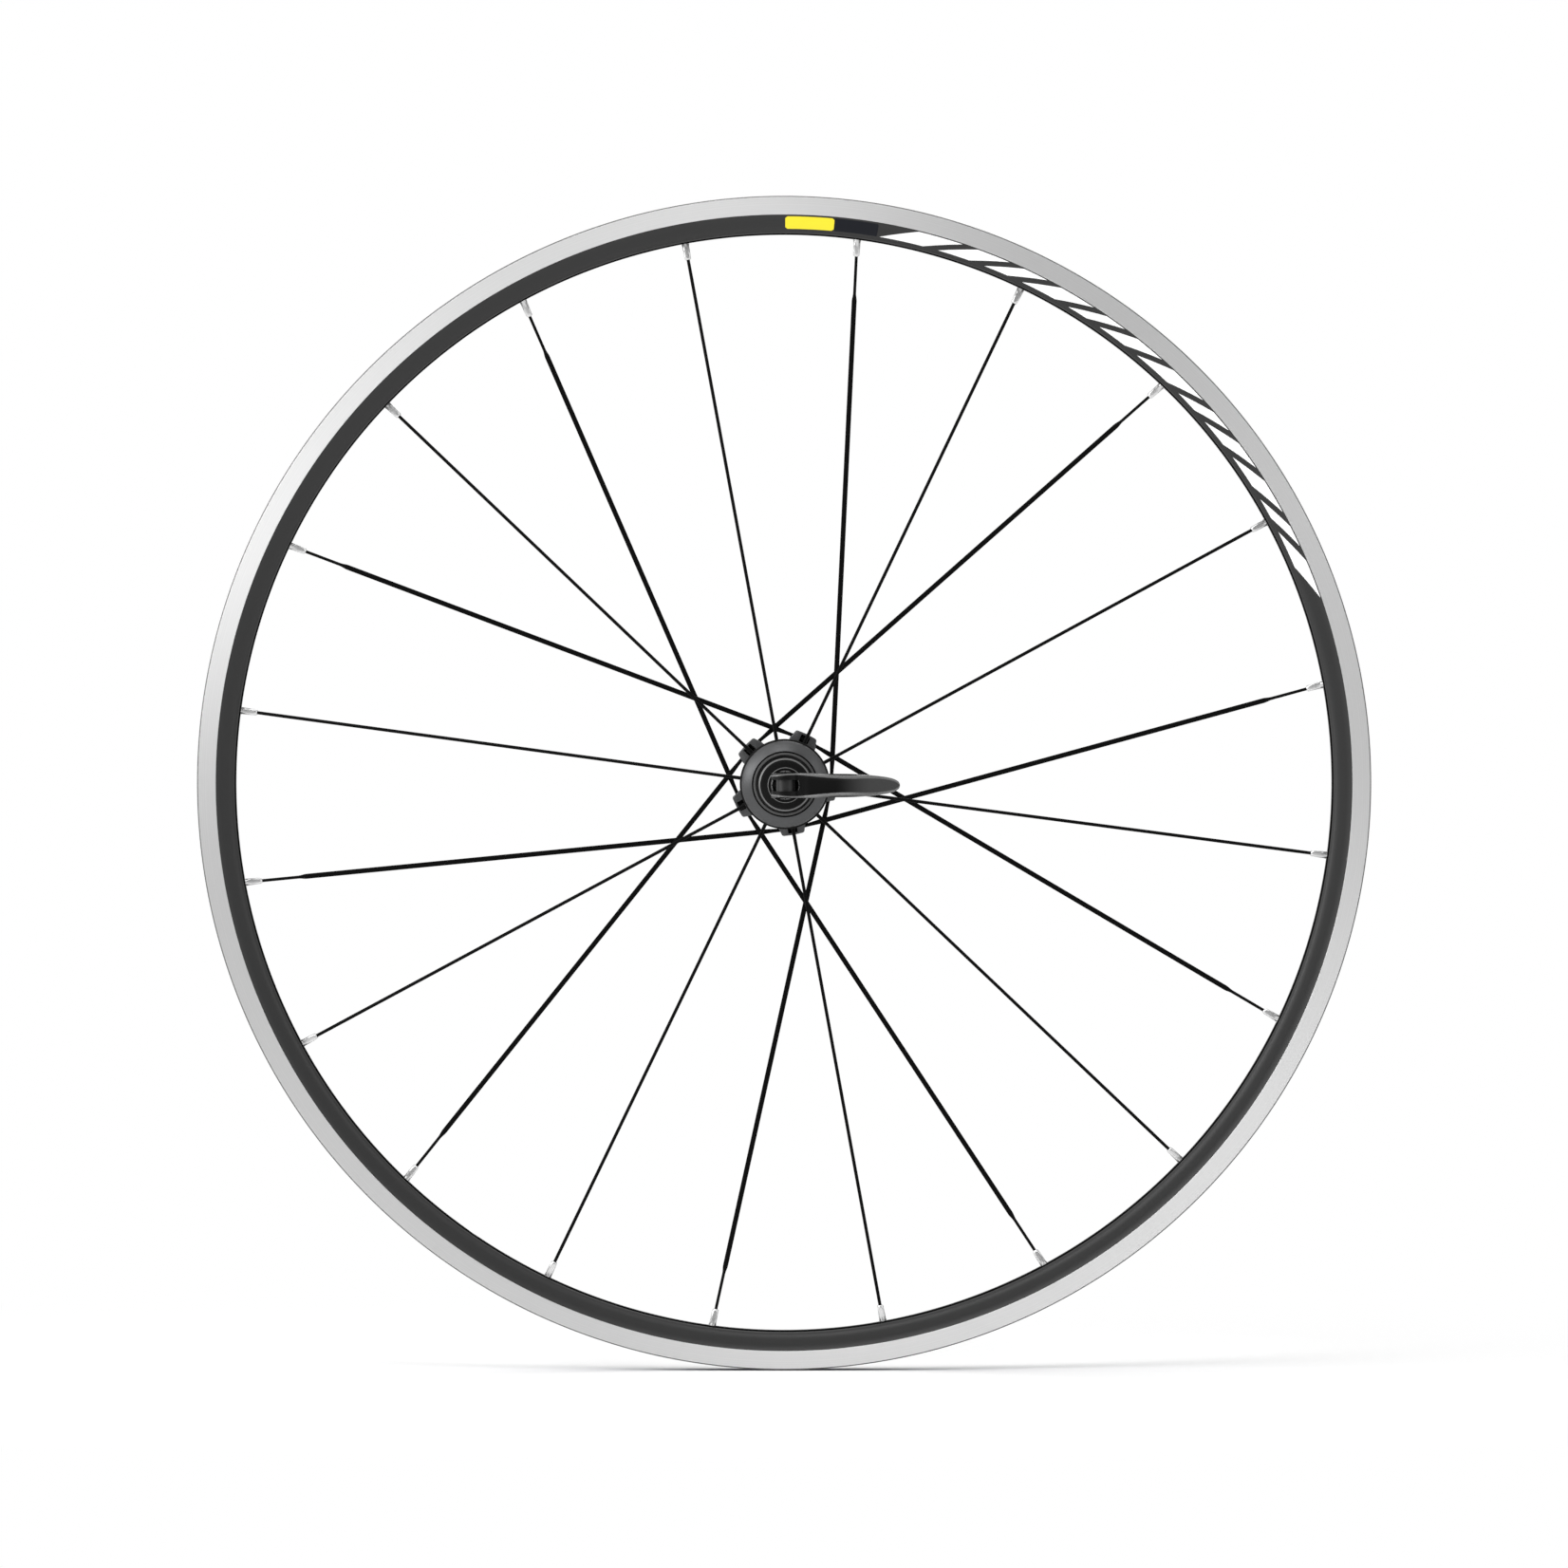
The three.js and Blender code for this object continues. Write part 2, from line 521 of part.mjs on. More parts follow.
function lever() {
  const side = new THREE.ExtrudeGeometry(leverSide(), { depth: 20, bevelEnabled: false, curveSegments: 5 });
  side.translate(0, BARREL_Y, -10);
  const front = plateAlongY(leverFront(), BARREL_Y - 20, BARREL_Y + 20);
  const slot = new THREE.BoxGeometry(30, 40, 2 * SLOT_HALF_WIDTH).translate(SLOT_END_X - 15, BARREL_Y, 0);
  const pivot = new THREE.CylinderGeometry(BARREL_R + GAP, BARREL_R + GAP, 30, 24).rotateX(Math.PI / 2);
  pivot.translate(0, BARREL_Y, 0);
  return geometryOf(solid(side).intersect(solid(front)).subtract(solid(slot)).subtract(solid(pivot)));
}

function adjustingNut() {
  const body = turned([
    [ROD_HOLE_R, QR_FACE + SPRING_SEAT_DEPTH], [7.6, QR_FACE + SPRING_SEAT_DEPTH], [7.6, QR_FACE],
    [QR_BASE_R, QR_FACE], [QR_BASE_R, 75.5], [7.2, 77.4], [6.4, 81.4], [5.4, 82.2], [ROD_HOLE_R, 82.2],
  ], 24);
  const flat = new THREE.BoxGeometry(30, 10, 10);
  const flats = [1, -1].map((side) => solid(flat.clone().translate(0, 82, side * 11)));
  return geometryOf(flats.reduce((nut, cut) => nut.subtract(cut), solid(body)));
}

// A conical coil between the axle's end and the cup, wide in the cup and narrow at the axle.
class ConicalCoil extends THREE.Curve {
  constructor(narrowY, wideY) {
    super();
    this.ends = [narrowY, wideY];
  }
  getPoint(t, target = new THREE.Vector3()) {
    const angle = 2 * Math.PI * 3.25 * t;
    const radius = 3.9 + 2.9 * t;
    const y = this.ends[0] + (this.ends[1] - this.ends[0]) * t;
    return target.set(radius * Math.cos(angle), y, radius * Math.sin(angle));
  }
}

function coilSpring(side) {
  const wire = 0.4;
  const section = new THREE.Shape([0, 1, 2, 3].map((k) => v2(wire * Math.cos((k * Math.PI) / 2), wire * Math.sin((k * Math.PI) / 2))));
  const narrowY = side * (AXLE_END + GAP + wire + 0.1);
  const wideY = side * (QR_FACE + SPRING_SEAT_DEPTH - GAP - wire);
  const path = new ConicalCoil(narrowY, wideY);
  return new THREE.ExtrudeGeometry(section, { steps: 32, bevelEnabled: false, extrudePath: path });
}

add("qr_rod", skewerRod(), MATERIALS.steel);
add("qr_barrel", barrel(), MATERIALS.steel);
add("qr_base", clampBase(), MATERIALS.blackAlloy);
add("qr_lever", lever(), MATERIALS.blackAlloy);
add("qr_nut", adjustingNut(), MATERIALS.blackAlloy);
add("qr_spring_left", coilSpring(-1), MATERIALS.steel);
add("qr_spring_right", coilSpring(1), MATERIALS.steel);

export default wheel;
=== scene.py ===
"""The looks of a road bicycle's rear wheel and its quick-release skewer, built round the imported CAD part.

The axle lies along Y, with the lever at -Y and the freehub at +Y. Sizes below are in millimetres and
angles in degrees, measured from +X towards +Z. Meshes are made in metres.
"""
import math

import bmesh
import bpy
from mathutils import Matrix, Vector


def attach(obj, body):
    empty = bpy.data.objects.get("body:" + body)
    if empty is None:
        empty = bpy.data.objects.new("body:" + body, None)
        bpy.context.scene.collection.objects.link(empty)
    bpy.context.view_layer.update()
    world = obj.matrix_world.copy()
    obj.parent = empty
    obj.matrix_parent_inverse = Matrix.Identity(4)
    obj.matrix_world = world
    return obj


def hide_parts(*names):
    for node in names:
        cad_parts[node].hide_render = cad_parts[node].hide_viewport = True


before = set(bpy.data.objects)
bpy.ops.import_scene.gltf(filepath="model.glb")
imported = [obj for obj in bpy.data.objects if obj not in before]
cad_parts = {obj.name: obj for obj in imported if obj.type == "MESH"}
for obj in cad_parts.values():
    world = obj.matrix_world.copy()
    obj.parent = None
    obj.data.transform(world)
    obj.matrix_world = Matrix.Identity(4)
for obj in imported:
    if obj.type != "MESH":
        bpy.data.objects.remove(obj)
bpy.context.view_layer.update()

MM = 0.001

# ---- Main sizes ----
RIM_OUTER = 316.7
RIM_INNER = 295.8
TRACK_INNER = 306.6
TRACK_HALF_WIDTH = 10.75
WELL = 307.6
RIM_SEGMENTS = 720

SPOKE_PITCH = 18
FIRST_SPOKE = 10.4
VALVE_ANGLE = FIRST_SPOKE + 12.5 * SPOKE_PITCH
LUG_PITCH = 72
FIRST_LUG = FIRST_SPOKE + 3 * SPOKE_PITCH
LEFT_FLANGE_Y = -37.5
CROSS_TANGENT_R = 25.6
CROSS_Y = {1: 16.4, -1: 18.6}
SPOKE_END_R = 299.0
HEAD_BEHIND_FOOT = 1.46
# Round spokes are drawn 0.12 mm larger in radius than in the CAD part, and blades 0.11 mm wider on each side.
RADIAL_R = 0.92
BLADE_HALF = 1.36
BLADE_THIN = 0.5
SHANK_R = 1.0
THREAD_R = 0.83

DROPOUT_FACE = 65
AXLE_END = 70
QR_FACE = 71.5
ROD_END = 79.4
ROD_R = 2.45
SADDLE_Y = -76.45
SADDLE_R = 10
SADDLE_HALF_WIDTH = 7.1
CAM_R = 7.8
CAM_OFFSET = 0.8
BARREL_R = 5
BARREL_Y = SADDLE_Y - CAM_OFFSET - CAM_R - 0.4
SLOT_HALF_WIDTH = 3.1
SLOT_END_X = 7.9
LEVER_TIP_X = 61.2


# ---- Materials ----
def surface(name, colour, roughness, metallic=0.0, **sockets):
    """A plain finish. Other shader inputs are given by name, with _ for a space."""
    material = bpy.data.materials.new(name)
    material.use_nodes = True
    shader = material.node_tree.nodes["Principled BSDF"]
    shader.inputs["Base Color"].default_value = (*colour, 1)
    shader.inputs["Roughness"].default_value = roughness
    shader.inputs["Metallic"].default_value = metallic
    for socket, value in sockets.items():
        shader.inputs[socket.replace("_", " ")].default_value = value
    return material


def grey(value):
    return (value, value, value)


def distance_along(material, place, axes):
    """Adds nodes that give the length of a place measured along two axes only, in metres."""
    nodes, links = material.node_tree.nodes, material.node_tree.links
    parts = nodes.new("ShaderNodeSeparateXYZ")
    flat = nodes.new("ShaderNodeCombineXYZ")
    length = nodes.new("ShaderNodeVectorMath")
    length.operation = "LENGTH"
    links.new(place, parts.inputs[0])
    for axis in axes:
        links.new(parts.outputs[axis], flat.inputs[axis])
    links.new(flat.outputs[0], length.inputs[0])
    return length.outputs["Value"]


def turning_lines(material, per_metre, darkest, lightest):
    """Fine rings round the axle, as a lathe tool leaves them."""
    nodes, links = material.node_tree.nodes, material.node_tree.links
    shader = nodes["Principled BSDF"]
    noise = nodes.new("ShaderNodeTexNoise")
    noise.noise_dimensions = "1D"
    noise.inputs["Scale"].default_value = per_metre
    noise.inputs["Detail"].default_value = 3
    place = nodes.new("ShaderNodeTexCoord")
    links.new(distance_along(material, place.outputs["Object"], "XZ"), noise.inputs["W"])
    ramp = nodes.new("ShaderNodeValToRGB")
    ramp.color_ramp.elements[0].position = 0.3
    ramp.color_ramp.elements[0].color = (*darkest, 1)
    ramp.color_ramp.elements[1].position = 0.7
    ramp.color_ramp.elements[1].color = (*lightest, 1)
    links.new(noise.outputs["Fac"], ramp.inputs["Fac"])
    links.new(ramp.outputs["Color"], shader.inputs["Base Color"])
    turned_about_axle(material)


def turned_about_axle(material):
    """Points the streaks of an anisotropic finish round the axle."""
    nodes, links = material.node_tree.nodes, material.node_tree.links
    tangent = nodes.new("ShaderNodeTangent")
    tangent.direction_type = "RADIAL"
    tangent.axis = "Y"
    links.new(tangent.outputs["Tangent"], nodes["Principled BSDF"].inputs["Tangent"])


def speckled(material, per_metre, spread):
    """Gives a finish a faint unevenness in its gloss."""
    nodes, links = material.node_tree.nodes, material.node_tree.links
    shader = nodes["Principled BSDF"]
    middle = shader.inputs["Roughness"].default_value
    place = nodes.new("ShaderNodeTexCoord")
    noise = nodes.new("ShaderNodeTexNoise")
    noise.inputs["Scale"].default_value = per_metre
    noise.inputs["Detail"].default_value = 4
    links.new(place.outputs["Object"], noise.inputs["Vector"])
    fit = nodes.new("ShaderNodeMapRange")
    fit.inputs["To Min"].default_value = max(middle - spread, 0.03)
    fit.inputs["To Max"].default_value = middle + spread
    links.new(noise.outputs["Fac"], fit.inputs["Value"])
    links.new(fit.outputs["Result"], shader.inputs["Roughness"])
    return material


machined = surface("machined_track", grey(0.7), 0.5, 1.0, Anisotropic=0.75, Anisotropic_Rotation=0.25)
turning_lines(machined, 2600, grey(0.76), grey(0.82))
rim_paint = speckled(surface("black_rim_paint", grey(0.022), 0.42, Specular_IOR_Level=0.35), 900, 0.05)
rim_bare = speckled(surface("rim_bare_alloy", grey(0.5), 0.42, 1.0), 500, 0.06)
# Painted shade: the rim's outer lip is painted dark grey where its rounded edge falls into shade.
rim_edge_painted_shade = surface("rim_edge_painted_shade", grey(0.12), 0.4, 0.5)
# Painted shade: the rim's inner edge is painted darker than the black paint and given no gloss, for the shade on its
# curve.
rim_shade = surface("rim_inner_edge_painted_shade", grey(0.003), 0.8, 0.0, Specular_IOR_Level=0.0)
hub_satin = speckled(surface("hub_satin_grey", (0.088, 0.089, 0.091), 0.42, 0.7, Anisotropic=0.6,
                              Anisotropic_Rotation=0.25), 1200, 0.04)
# Painted shade: near black with little gloss, for the hub's groove, seal recess and flange edge where shade falls.
hub_painted_shade = surface("hub_edge_painted_shade", grey(0.004), 0.5, 0.0, Specular_IOR_Level=0.1)
hub_chamfer = speckled(surface("hub_chamfer_grey", grey(0.15), 0.4, 0.6), 1200, 0.04)
black_gloss = surface("black_gloss", grey(0.006), 0.3, 0.0, Specular_IOR_Level=0.3)
lever_face = surface("lever_face_black_painted_reflection", grey(0.003), 0.35, 0.0, Specular_IOR_Level=0.15)
# Painted highlight: the lever's bevels get a lighter grey than its black body, standing in for the light they catch.
lever_bevel_highlight = surface("lever_bevel_painted_highlight", grey(0.13), 0.3, 0.2)
barrel_black = surface("barrel_black", grey(0.02), 0.35, 0.3)
hub_ring = speckled(surface("hub_ring_grey", grey(0.085), 0.45, 0.3), 1200, 0.04)
black_satin = speckled(surface("black_satin", grey(0.006), 0.45, 0.0, Specular_IOR_Level=0.15), 1500, 0.05)
spoke_black = speckled(surface("spoke_black", grey(0.002), 0.5, 0.0, Specular_IOR_Level=0.06), 900, 0.04)
bright_alloy = speckled(surface("bright_alloy", grey(0.72), 0.3, 0.8), 1500, 0.05)
steel = speckled(surface("ground_steel", (0.5, 0.49, 0.48), 0.28, 1.0), 1500, 0.06)
zinc = speckled(surface("zinc_plated_steel", (0.36, 0.355, 0.35), 0.36, 1.0), 700, 0.08)
tape_blue = speckled(surface("woven_tape", (0.05, 0.09, 0.2), 0.75), 3000, 0.05)
seal_rubber = surface("seal_rubber", grey(0.012), 0.6)
decal_yellow = surface("decal_yellow", (0.9, 0.75, 0.02), 0.35)
decal_dark = surface("decal_dark", (0.006, 0.007, 0.011), 0.4, Specular_IOR_Level=0.2)
decal_white = surface("decal_white", grey(0.97), 0.5)
turned_about_axle(hub_satin)


def painted_reflection_along_x(material, start, end, colour):
    """Paints a lighter colour into a finish between two places along X, in metres, as a painted reflection."""
    nodes, links = material.node_tree.nodes, material.node_tree.links
    shader = nodes["Principled BSDF"]
    place = nodes.new("ShaderNodeTexCoord")
    parts = nodes.new("ShaderNodeSeparateXYZ")
    links.new(place.outputs["Object"], parts.inputs[0])
    along = nodes.new("ShaderNodeMapRange")
    along.interpolation_type = "SMOOTHSTEP"
    along.inputs["From Min"].default_value = start
    along.inputs["From Max"].default_value = end
    links.new(parts.outputs["X"], along.inputs["Value"])
    ramp = nodes.new("ShaderNodeValToRGB")
    ramp.color_ramp.elements[0].color = tuple(shader.inputs["Base Color"].default_value)
    ramp.color_ramp.elements[1].color = (*colour, 1)
    links.new(along.outputs["Result"], ramp.inputs["Fac"])
    links.new(ramp.outputs["Color"], shader.inputs["Base Color"])


# Painted reflection: the lever's black face is painted lighter towards its tip, where its curve would reflect light.
painted_reflection_along_x(lever_face, 0.026, 0.047, grey(0.05))
floor_pale = surface("floor_pale", grey(0.92), 0.7, Specular_IOR_Level=0.1)


def faded_out(material, near, far):
    """A finish that turns into plain white light with the distance from the middle of the floor."""
    nodes, links = material.node_tree.nodes, material.node_tree.links
    place = nodes.new("ShaderNodeNewGeometry")
    fade = nodes.new("ShaderNodeMapRange")
    fade.interpolation_type = "SMOOTHSTEP"
    fade.inputs["From Min"].default_value = near
    fade.inputs["From Max"].default_value = far
    links.new(distance_along(material, place.outputs["Position"], "XY"), fade.inputs["Value"])
    light = nodes.new("ShaderNodeEmission")
    mix = nodes.new("ShaderNodeMixShader")
    links.new(fade.outputs["Result"], mix.inputs[0])
    links.new(nodes["Principled BSDF"].outputs[0], mix.inputs[1])
    links.new(light.outputs[0], mix.inputs[2])
    links.new(mix.outputs[0], nodes["Material Output"].inputs["Surface"])


faded_out(floor_pale, 0.1, 0.8)


# ---- Making meshes ----
def finished(mesh, name, sharp):
    """Cleans a mesh, shades it smooth except at edges sharper than the angle, and puts it in the scene."""
    shape = bmesh.new()
    shape.from_mesh(mesh)
    bmesh.ops.remove_doubles(shape, verts=shape.verts, dist=1e-7)
    bmesh.ops.recalc_face_normals(shape, faces=shape.faces)
    shape.to_mesh(mesh)
    shape.free()
    mesh.shade_smooth()
    mesh.set_sharp_from_angle(angle=math.radians(sharp))
    piece = bpy.data.objects.new(name, mesh)
    bpy.context.scene.collection.objects.link(piece)
    return piece


def make(name, points, faces, materials, which=None, sharp=32):
    mesh = bpy.data.meshes.new(name)
    mesh.from_pydata([Vector(p) * MM for p in points], [], faces)
    for material in materials:
        mesh.materials.append(material)
    if which:
        for face, slot in zip(mesh.polygons, which):
            face.material_index = slot
    return finished(mesh, name, sharp)


def turned(name, outline, materials, slots=None, sides=128, sharp=32):
    """A ring or disc turned round the axle from its closed [radius, y] outline.

    slots gives the material of each stretch of the outline, by the number of the point it starts at.
    """
    count = len(outline)
    points = []
    for k in range(sides):
        a = 2 * math.pi * k / sides
        points += [(r * math.cos(a), y, r * math.sin(a)) for r, y in outline]
    faces, which = [], []
    for k in range(sides):
        here, there = k * count, ((k + 1) % sides) * count
        for i in range(count):
            j = (i + 1) % count
            if outline[i][0] == 0 and outline[j][0] == 0:
                continue
            faces.append((here + i, here + j, there + j, there + i))
            which.append(slots.get(i, 0) if slots else 0)
    return make(name, points, faces, materials, which, sharp)


def prism(name, outline, low, high, materials, sharp=32):
    """A flat [x, z] outline given thickness along Y."""
    count = len(outline)
    points = [(x, y, z) for y in (low, high) for x, z in outline]
    faces = [tuple(range(count)), tuple(range(2 * count - 1, count - 1, -1))]
    faces += [(i, (i + 1) % count, (i + 1) % count + count, i + count) for i in range(count)]
    return make(name, points, faces, materials, sharp=sharp)


def tube_faces(rings, sides):
    """The quads that join rings of points, each ring with the same number of sides."""
    faces = []
    for k in range(rings - 1):
        for i in range(sides):
            j = (i + 1) % sides
            faces.append((k * sides + i, k * sides + j, (k + 1) * sides + j, (k + 1) * sides + i))
    return faces


def loft(name, start, direction, sections, materials, sides=20, sharp=40):
    """A rod along a line. Each section is (distance, half width, half thickness, squareness).

    The width lies in the wheel's plane. Squareness 2 is an ellipse, and 6 is nearly a rectangle.
    """
    along = direction.normalized()
    wide = along.cross(Vector((0, 1, 0))).normalized()
    thin = wide.cross(along)
    points = []
    for distance, a, b, power in sections:
        for i in range(sides):
            t = 2 * math.pi * (i + 0.5) / sides
            c, s = math.cos(t), math.sin(t)
            reach = (abs(c) ** power + abs(s) ** power) ** (-1 / power)
            points.append(start + along * distance + wide * (a * c * reach) + thin * (b * s * reach))
    faces = tube_faces(len(sections), sides)
    last = (len(sections) - 1) * sides
    faces += [tuple(range(sides - 1, -1, -1)), tuple(range(last, last + sides))]
    return make(name, points, faces, materials, sharp=sharp)


def rod(name, start, end, radius, sides=32):
    """A plain cylinder, as a cutter."""
    length = (end - start).length
    sections = [(0, radius, radius, 2), (length, radius, radius, 2)]
    return loft(name, start, end - start, sections, [black_satin], sides)


def block(name, low, high, turn=0):
    """A box as a cutter, turned round the axle by an angle."""
    (x0, y0, z0), (x1, y1, z1) = low, high
    piece = prism(name, [(x0, z0), (x1, z0), (x1, z1), (x0, z1)], y0, y1, [black_satin])
    piece.data.transform(Matrix.Rotation(-math.radians(turn), 4, "Y"))
    return piece


def settle(piece):
    """Applies a piece's modifiers to its mesh."""
    graph = bpy.context.evaluated_depsgraph_get()
    mesh = bpy.data.meshes.new_from_object(piece.evaluated_get(graph))
    piece.modifiers.clear()
    piece.data = mesh
    return piece


def combine(piece, others, operation, sharp=32):
    """Cuts the other meshes out of a piece, or adds them to it, and removes them."""
    for other in others:
        step = piece.modifiers.new("combine", "BOOLEAN")
        step.operation = operation
        step.solver = "EXACT"
        step.object = other
    settle(piece)
    for other in others:
        bpy.data.objects.remove(other)
    piece.data.shade_smooth()
    piece.data.set_sharp_from_angle(angle=math.radians(sharp))
    return piece


def rounded(piece, width, segments=2, angle=32):
    """Softens a piece's sharp edges."""
    step = piece.modifiers.new("edges", "BEVEL")
    step.width = width * MM
    step.segments = segments
    step.limit_method = "ANGLE"
    step.angle_limit = math.radians(angle)
    step.harden_normals = True
    return piece


def fit(piece, body, slot, *nodes):
    """The piece moves with a body and stands for CAD nodes. The slot argument is not used."""
    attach(piece, body)
    if nodes:
        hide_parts(*nodes)
    return piece


def polar(radius, angle, y=0.0):
    a = math.radians(angle)
    return Vector((radius * math.cos(a), y, radius * math.sin(a)))


# ---- Spoke lines ----
def radial_line(k):
    angle = FIRST_SPOKE + SPOKE_PITCH + 2 * SPOKE_PITCH * k
    return polar(19.7, angle, LEFT_FLANGE_Y), polar(SPOKE_END_R, angle)


def crossed_line(lug, side):
    sweep = math.degrees(math.acos(CROSS_TANGENT_R / SPOKE_END_R))
    angle = FIRST_LUG + lug * LUG_PITCH + side * (90 - sweep)
    foot = polar(CROSS_TANGENT_R, angle)
    along = polar(side, angle + 90)
    start = foot - along * HEAD_BEHIND_FOOT
    start.y = CROSS_Y[side]
    return start, foot + along * math.sqrt(SPOKE_END_R**2 - CROSS_TANGENT_R**2)


radial_lines = [radial_line(k) for k in range(10)]
crossed_lines = [crossed_line(lug, side) for lug in range(5) for side in (1, -1)]
all_lines = radial_lines + crossed_lines


def point_on(line, distance):
    start, end = line
    return start + (end - start).normalized() * distance


def length_of(line):
    return (line[1] - line[0]).length


# ---- Rim ----
def rim():
    half = [
        (RIM_INNER, 3.2), (295.95, 5.0), (296.5, 6.6), (297.4, 7.9), (298.6, 8.7), (300.3, 9.2),
        (303.2, 9.8), (TRACK_INNER - 0.35, 10.4), (TRACK_INNER, TRACK_HALF_WIDTH - 0.05),
        (TRACK_INNER + 0.15, TRACK_HALF_WIDTH), (307.0, TRACK_HALF_WIDTH), (315.8, TRACK_HALF_WIDTH),
        (316.1, TRACK_HALF_WIDTH), (316.5, 10.55), (RIM_OUTER, 10.0),
        (RIM_OUTER, 9.1), (316.3, 8.4), (315.4, 8.1), (314.4, 8.4), (313.4, 8.9), (311.3, 8.9),
        (311.0, 8.5), (311.0, 7.6), (309.2, 6.9), (308.0, 6.3), (WELL, 5.2),
    ]
    outline = half + [(r, -y) for r, y in reversed(half)]
    paint, track, edge, bare, shade = 0, 1, 2, 3, 4
    # The shade stretch on the inner edge and the edge stretch on the outer lip are painted shade.
    zones = [shade] * 2 + [paint] * 6 + [track] * 4 + [edge] * 3 + [bare] * 11
    slots = dict(enumerate(zones + zones[-2::-1] + [paint]))
    materials = [rim_paint, machined, rim_edge_painted_shade, rim_bare, rim_shade]
    body = turned("rim_body", outline, materials, slots, RIM_SEGMENTS, 40)
    valve = rod("cut_valve", polar(285, VALVE_ANGLE), polar(330, VALVE_ANGLE), 3.3, 48)
    dimple = rod("cut_dimple", polar(294.9, VALVE_ANGLE), polar(296.3, VALVE_ANGLE), 5.2, 48)
    holes = [rod("cut_nipple", point_on(line, length_of(line) - 9), point_on(line, length_of(line) + 2), 2.25, 24)
             for line in all_lines]
    return combine(body, [valve, dimple, *holes], "DIFFERENCE", 40)


fit(rim(), "wheel", "rim_alloy", "rim")

tape = turned("rim_tape_cloth", [(WELL + 0.15, -5.4), (WELL + 0.15, 5.4), (WELL + 0.8, 5.6), (WELL + 0.8, -5.6)],
              [tape_blue], sides=360)
tape_hole = rod("cut_tape", polar(300, VALVE_ANGLE), polar(320, VALVE_ANGLE), 3.5, 32)
fit(combine(tape, [tape_hole], "DIFFERENCE"), "wheel", "tape", "rim_tape")


# ---- Rim decals: plain shapes on both sides ----
BAND = [(298.7, 8.74), (300.3, 9.2), (303.2, 9.8), (306.2, 10.39)]
DECAL_LIFT = 0.06


def band_y(radius):
    for (r0, y0), (r1, y1) in zip(BAND, BAND[1:]):
        if radius <= r1:
            return y0 + (y1 - y0) * (radius - r0) / (r1 - r0)
    return BAND[-1][1]


def decal(name, side, start, end, inner, outer, material, lean=0.0, corner=0.0):
    """A thin sticker on the painted band, from one angle to another. Its ends may lean or be rounded."""
    middle = (inner + outer) / 2
    steps = max(4, int(abs(end - start) * 3))
    rows = 8
    points = []
    for layer in (0.0, DECAL_LIFT):
        for row in range(rows + 1):
            r = inner + (outer - inner) * row / rows
            shift = lean * (r - middle)
            edge = min(r - inner, outer - r)
            inset = corner - math.sqrt(max(corner**2 - (corner - min(edge, corner)) ** 2, 0))
            inset = math.degrees(inset / middle) * (1 if end > start else -1)
            for step in range(steps + 1):
                a = start + inset + (end - start - 2 * inset) * step / steps + shift
                points.append(polar(r, a, side * (band_y(r) + layer)))
    width = steps + 1
    layer_size = (rows + 1) * width
    faces = []
    for row in range(rows):
        for step in range(steps):
            i = row * width + step
            quad = (i, i + 1, i + width + 1, i + width)
            faces += [quad, tuple(layer_size + j for j in reversed(quad))]
    rim_loop = list(range(width))
    rim_loop += [row * width + steps for row in range(1, rows + 1)]
    rim_loop += [rows * width + s for s in range(steps - 1, -1, -1)]
    rim_loop += [row * width for row in range(rows - 1, 0, -1)]
    for a, b in zip(rim_loop, rim_loop[1:] + rim_loop[:1]):
        faces.append((a, b, b + layer_size, a + layer_size))
    piece = make(name, points, faces, [material], sharp=40)
    return fit(piece, "wheel", "rim_alloy")


LABEL_START = 89.9
LABEL_MIDDLE = 84.9
LABEL_END = 80.4
LABEL_RADII = (298.9, 305.6)
STRIPES_START = 78.2
STRIPES_END = 21.0
STRIPE_RADII = (299.0, 306.0)
STRIPE_LEAN = 0.55
STRIPE_LENGTHS = [4.6, 3.4, 2.6, 3.8, 2.2, 3.2, 4.2, 2.4, 3.0, 3.6, 2.2, 4.0]
stripe_gap = (STRIPES_START - STRIPES_END - sum(STRIPE_LENGTHS)) / (len(STRIPE_LENGTHS) - 1)
for side, word in ((-1, "left"), (1, "right")):
    decal(f"decal_yellow_{word}", side, LABEL_START, LABEL_MIDDLE, *LABEL_RADII, decal_yellow, corner=1.2)
    decal(f"decal_dark_{word}", side, LABEL_MIDDLE, LABEL_END, *LABEL_RADII, decal_dark, corner=0.4)
    angle = STRIPES_START
    for number, length in enumerate(STRIPE_LENGTHS, 1):
        decal(f"decal_stripe_{word}_{number:02d}", side, angle, angle - length, *STRIPE_RADII, decal_white,
              lean=-STRIPE_LEAN)
        angle -= length + stripe_gap


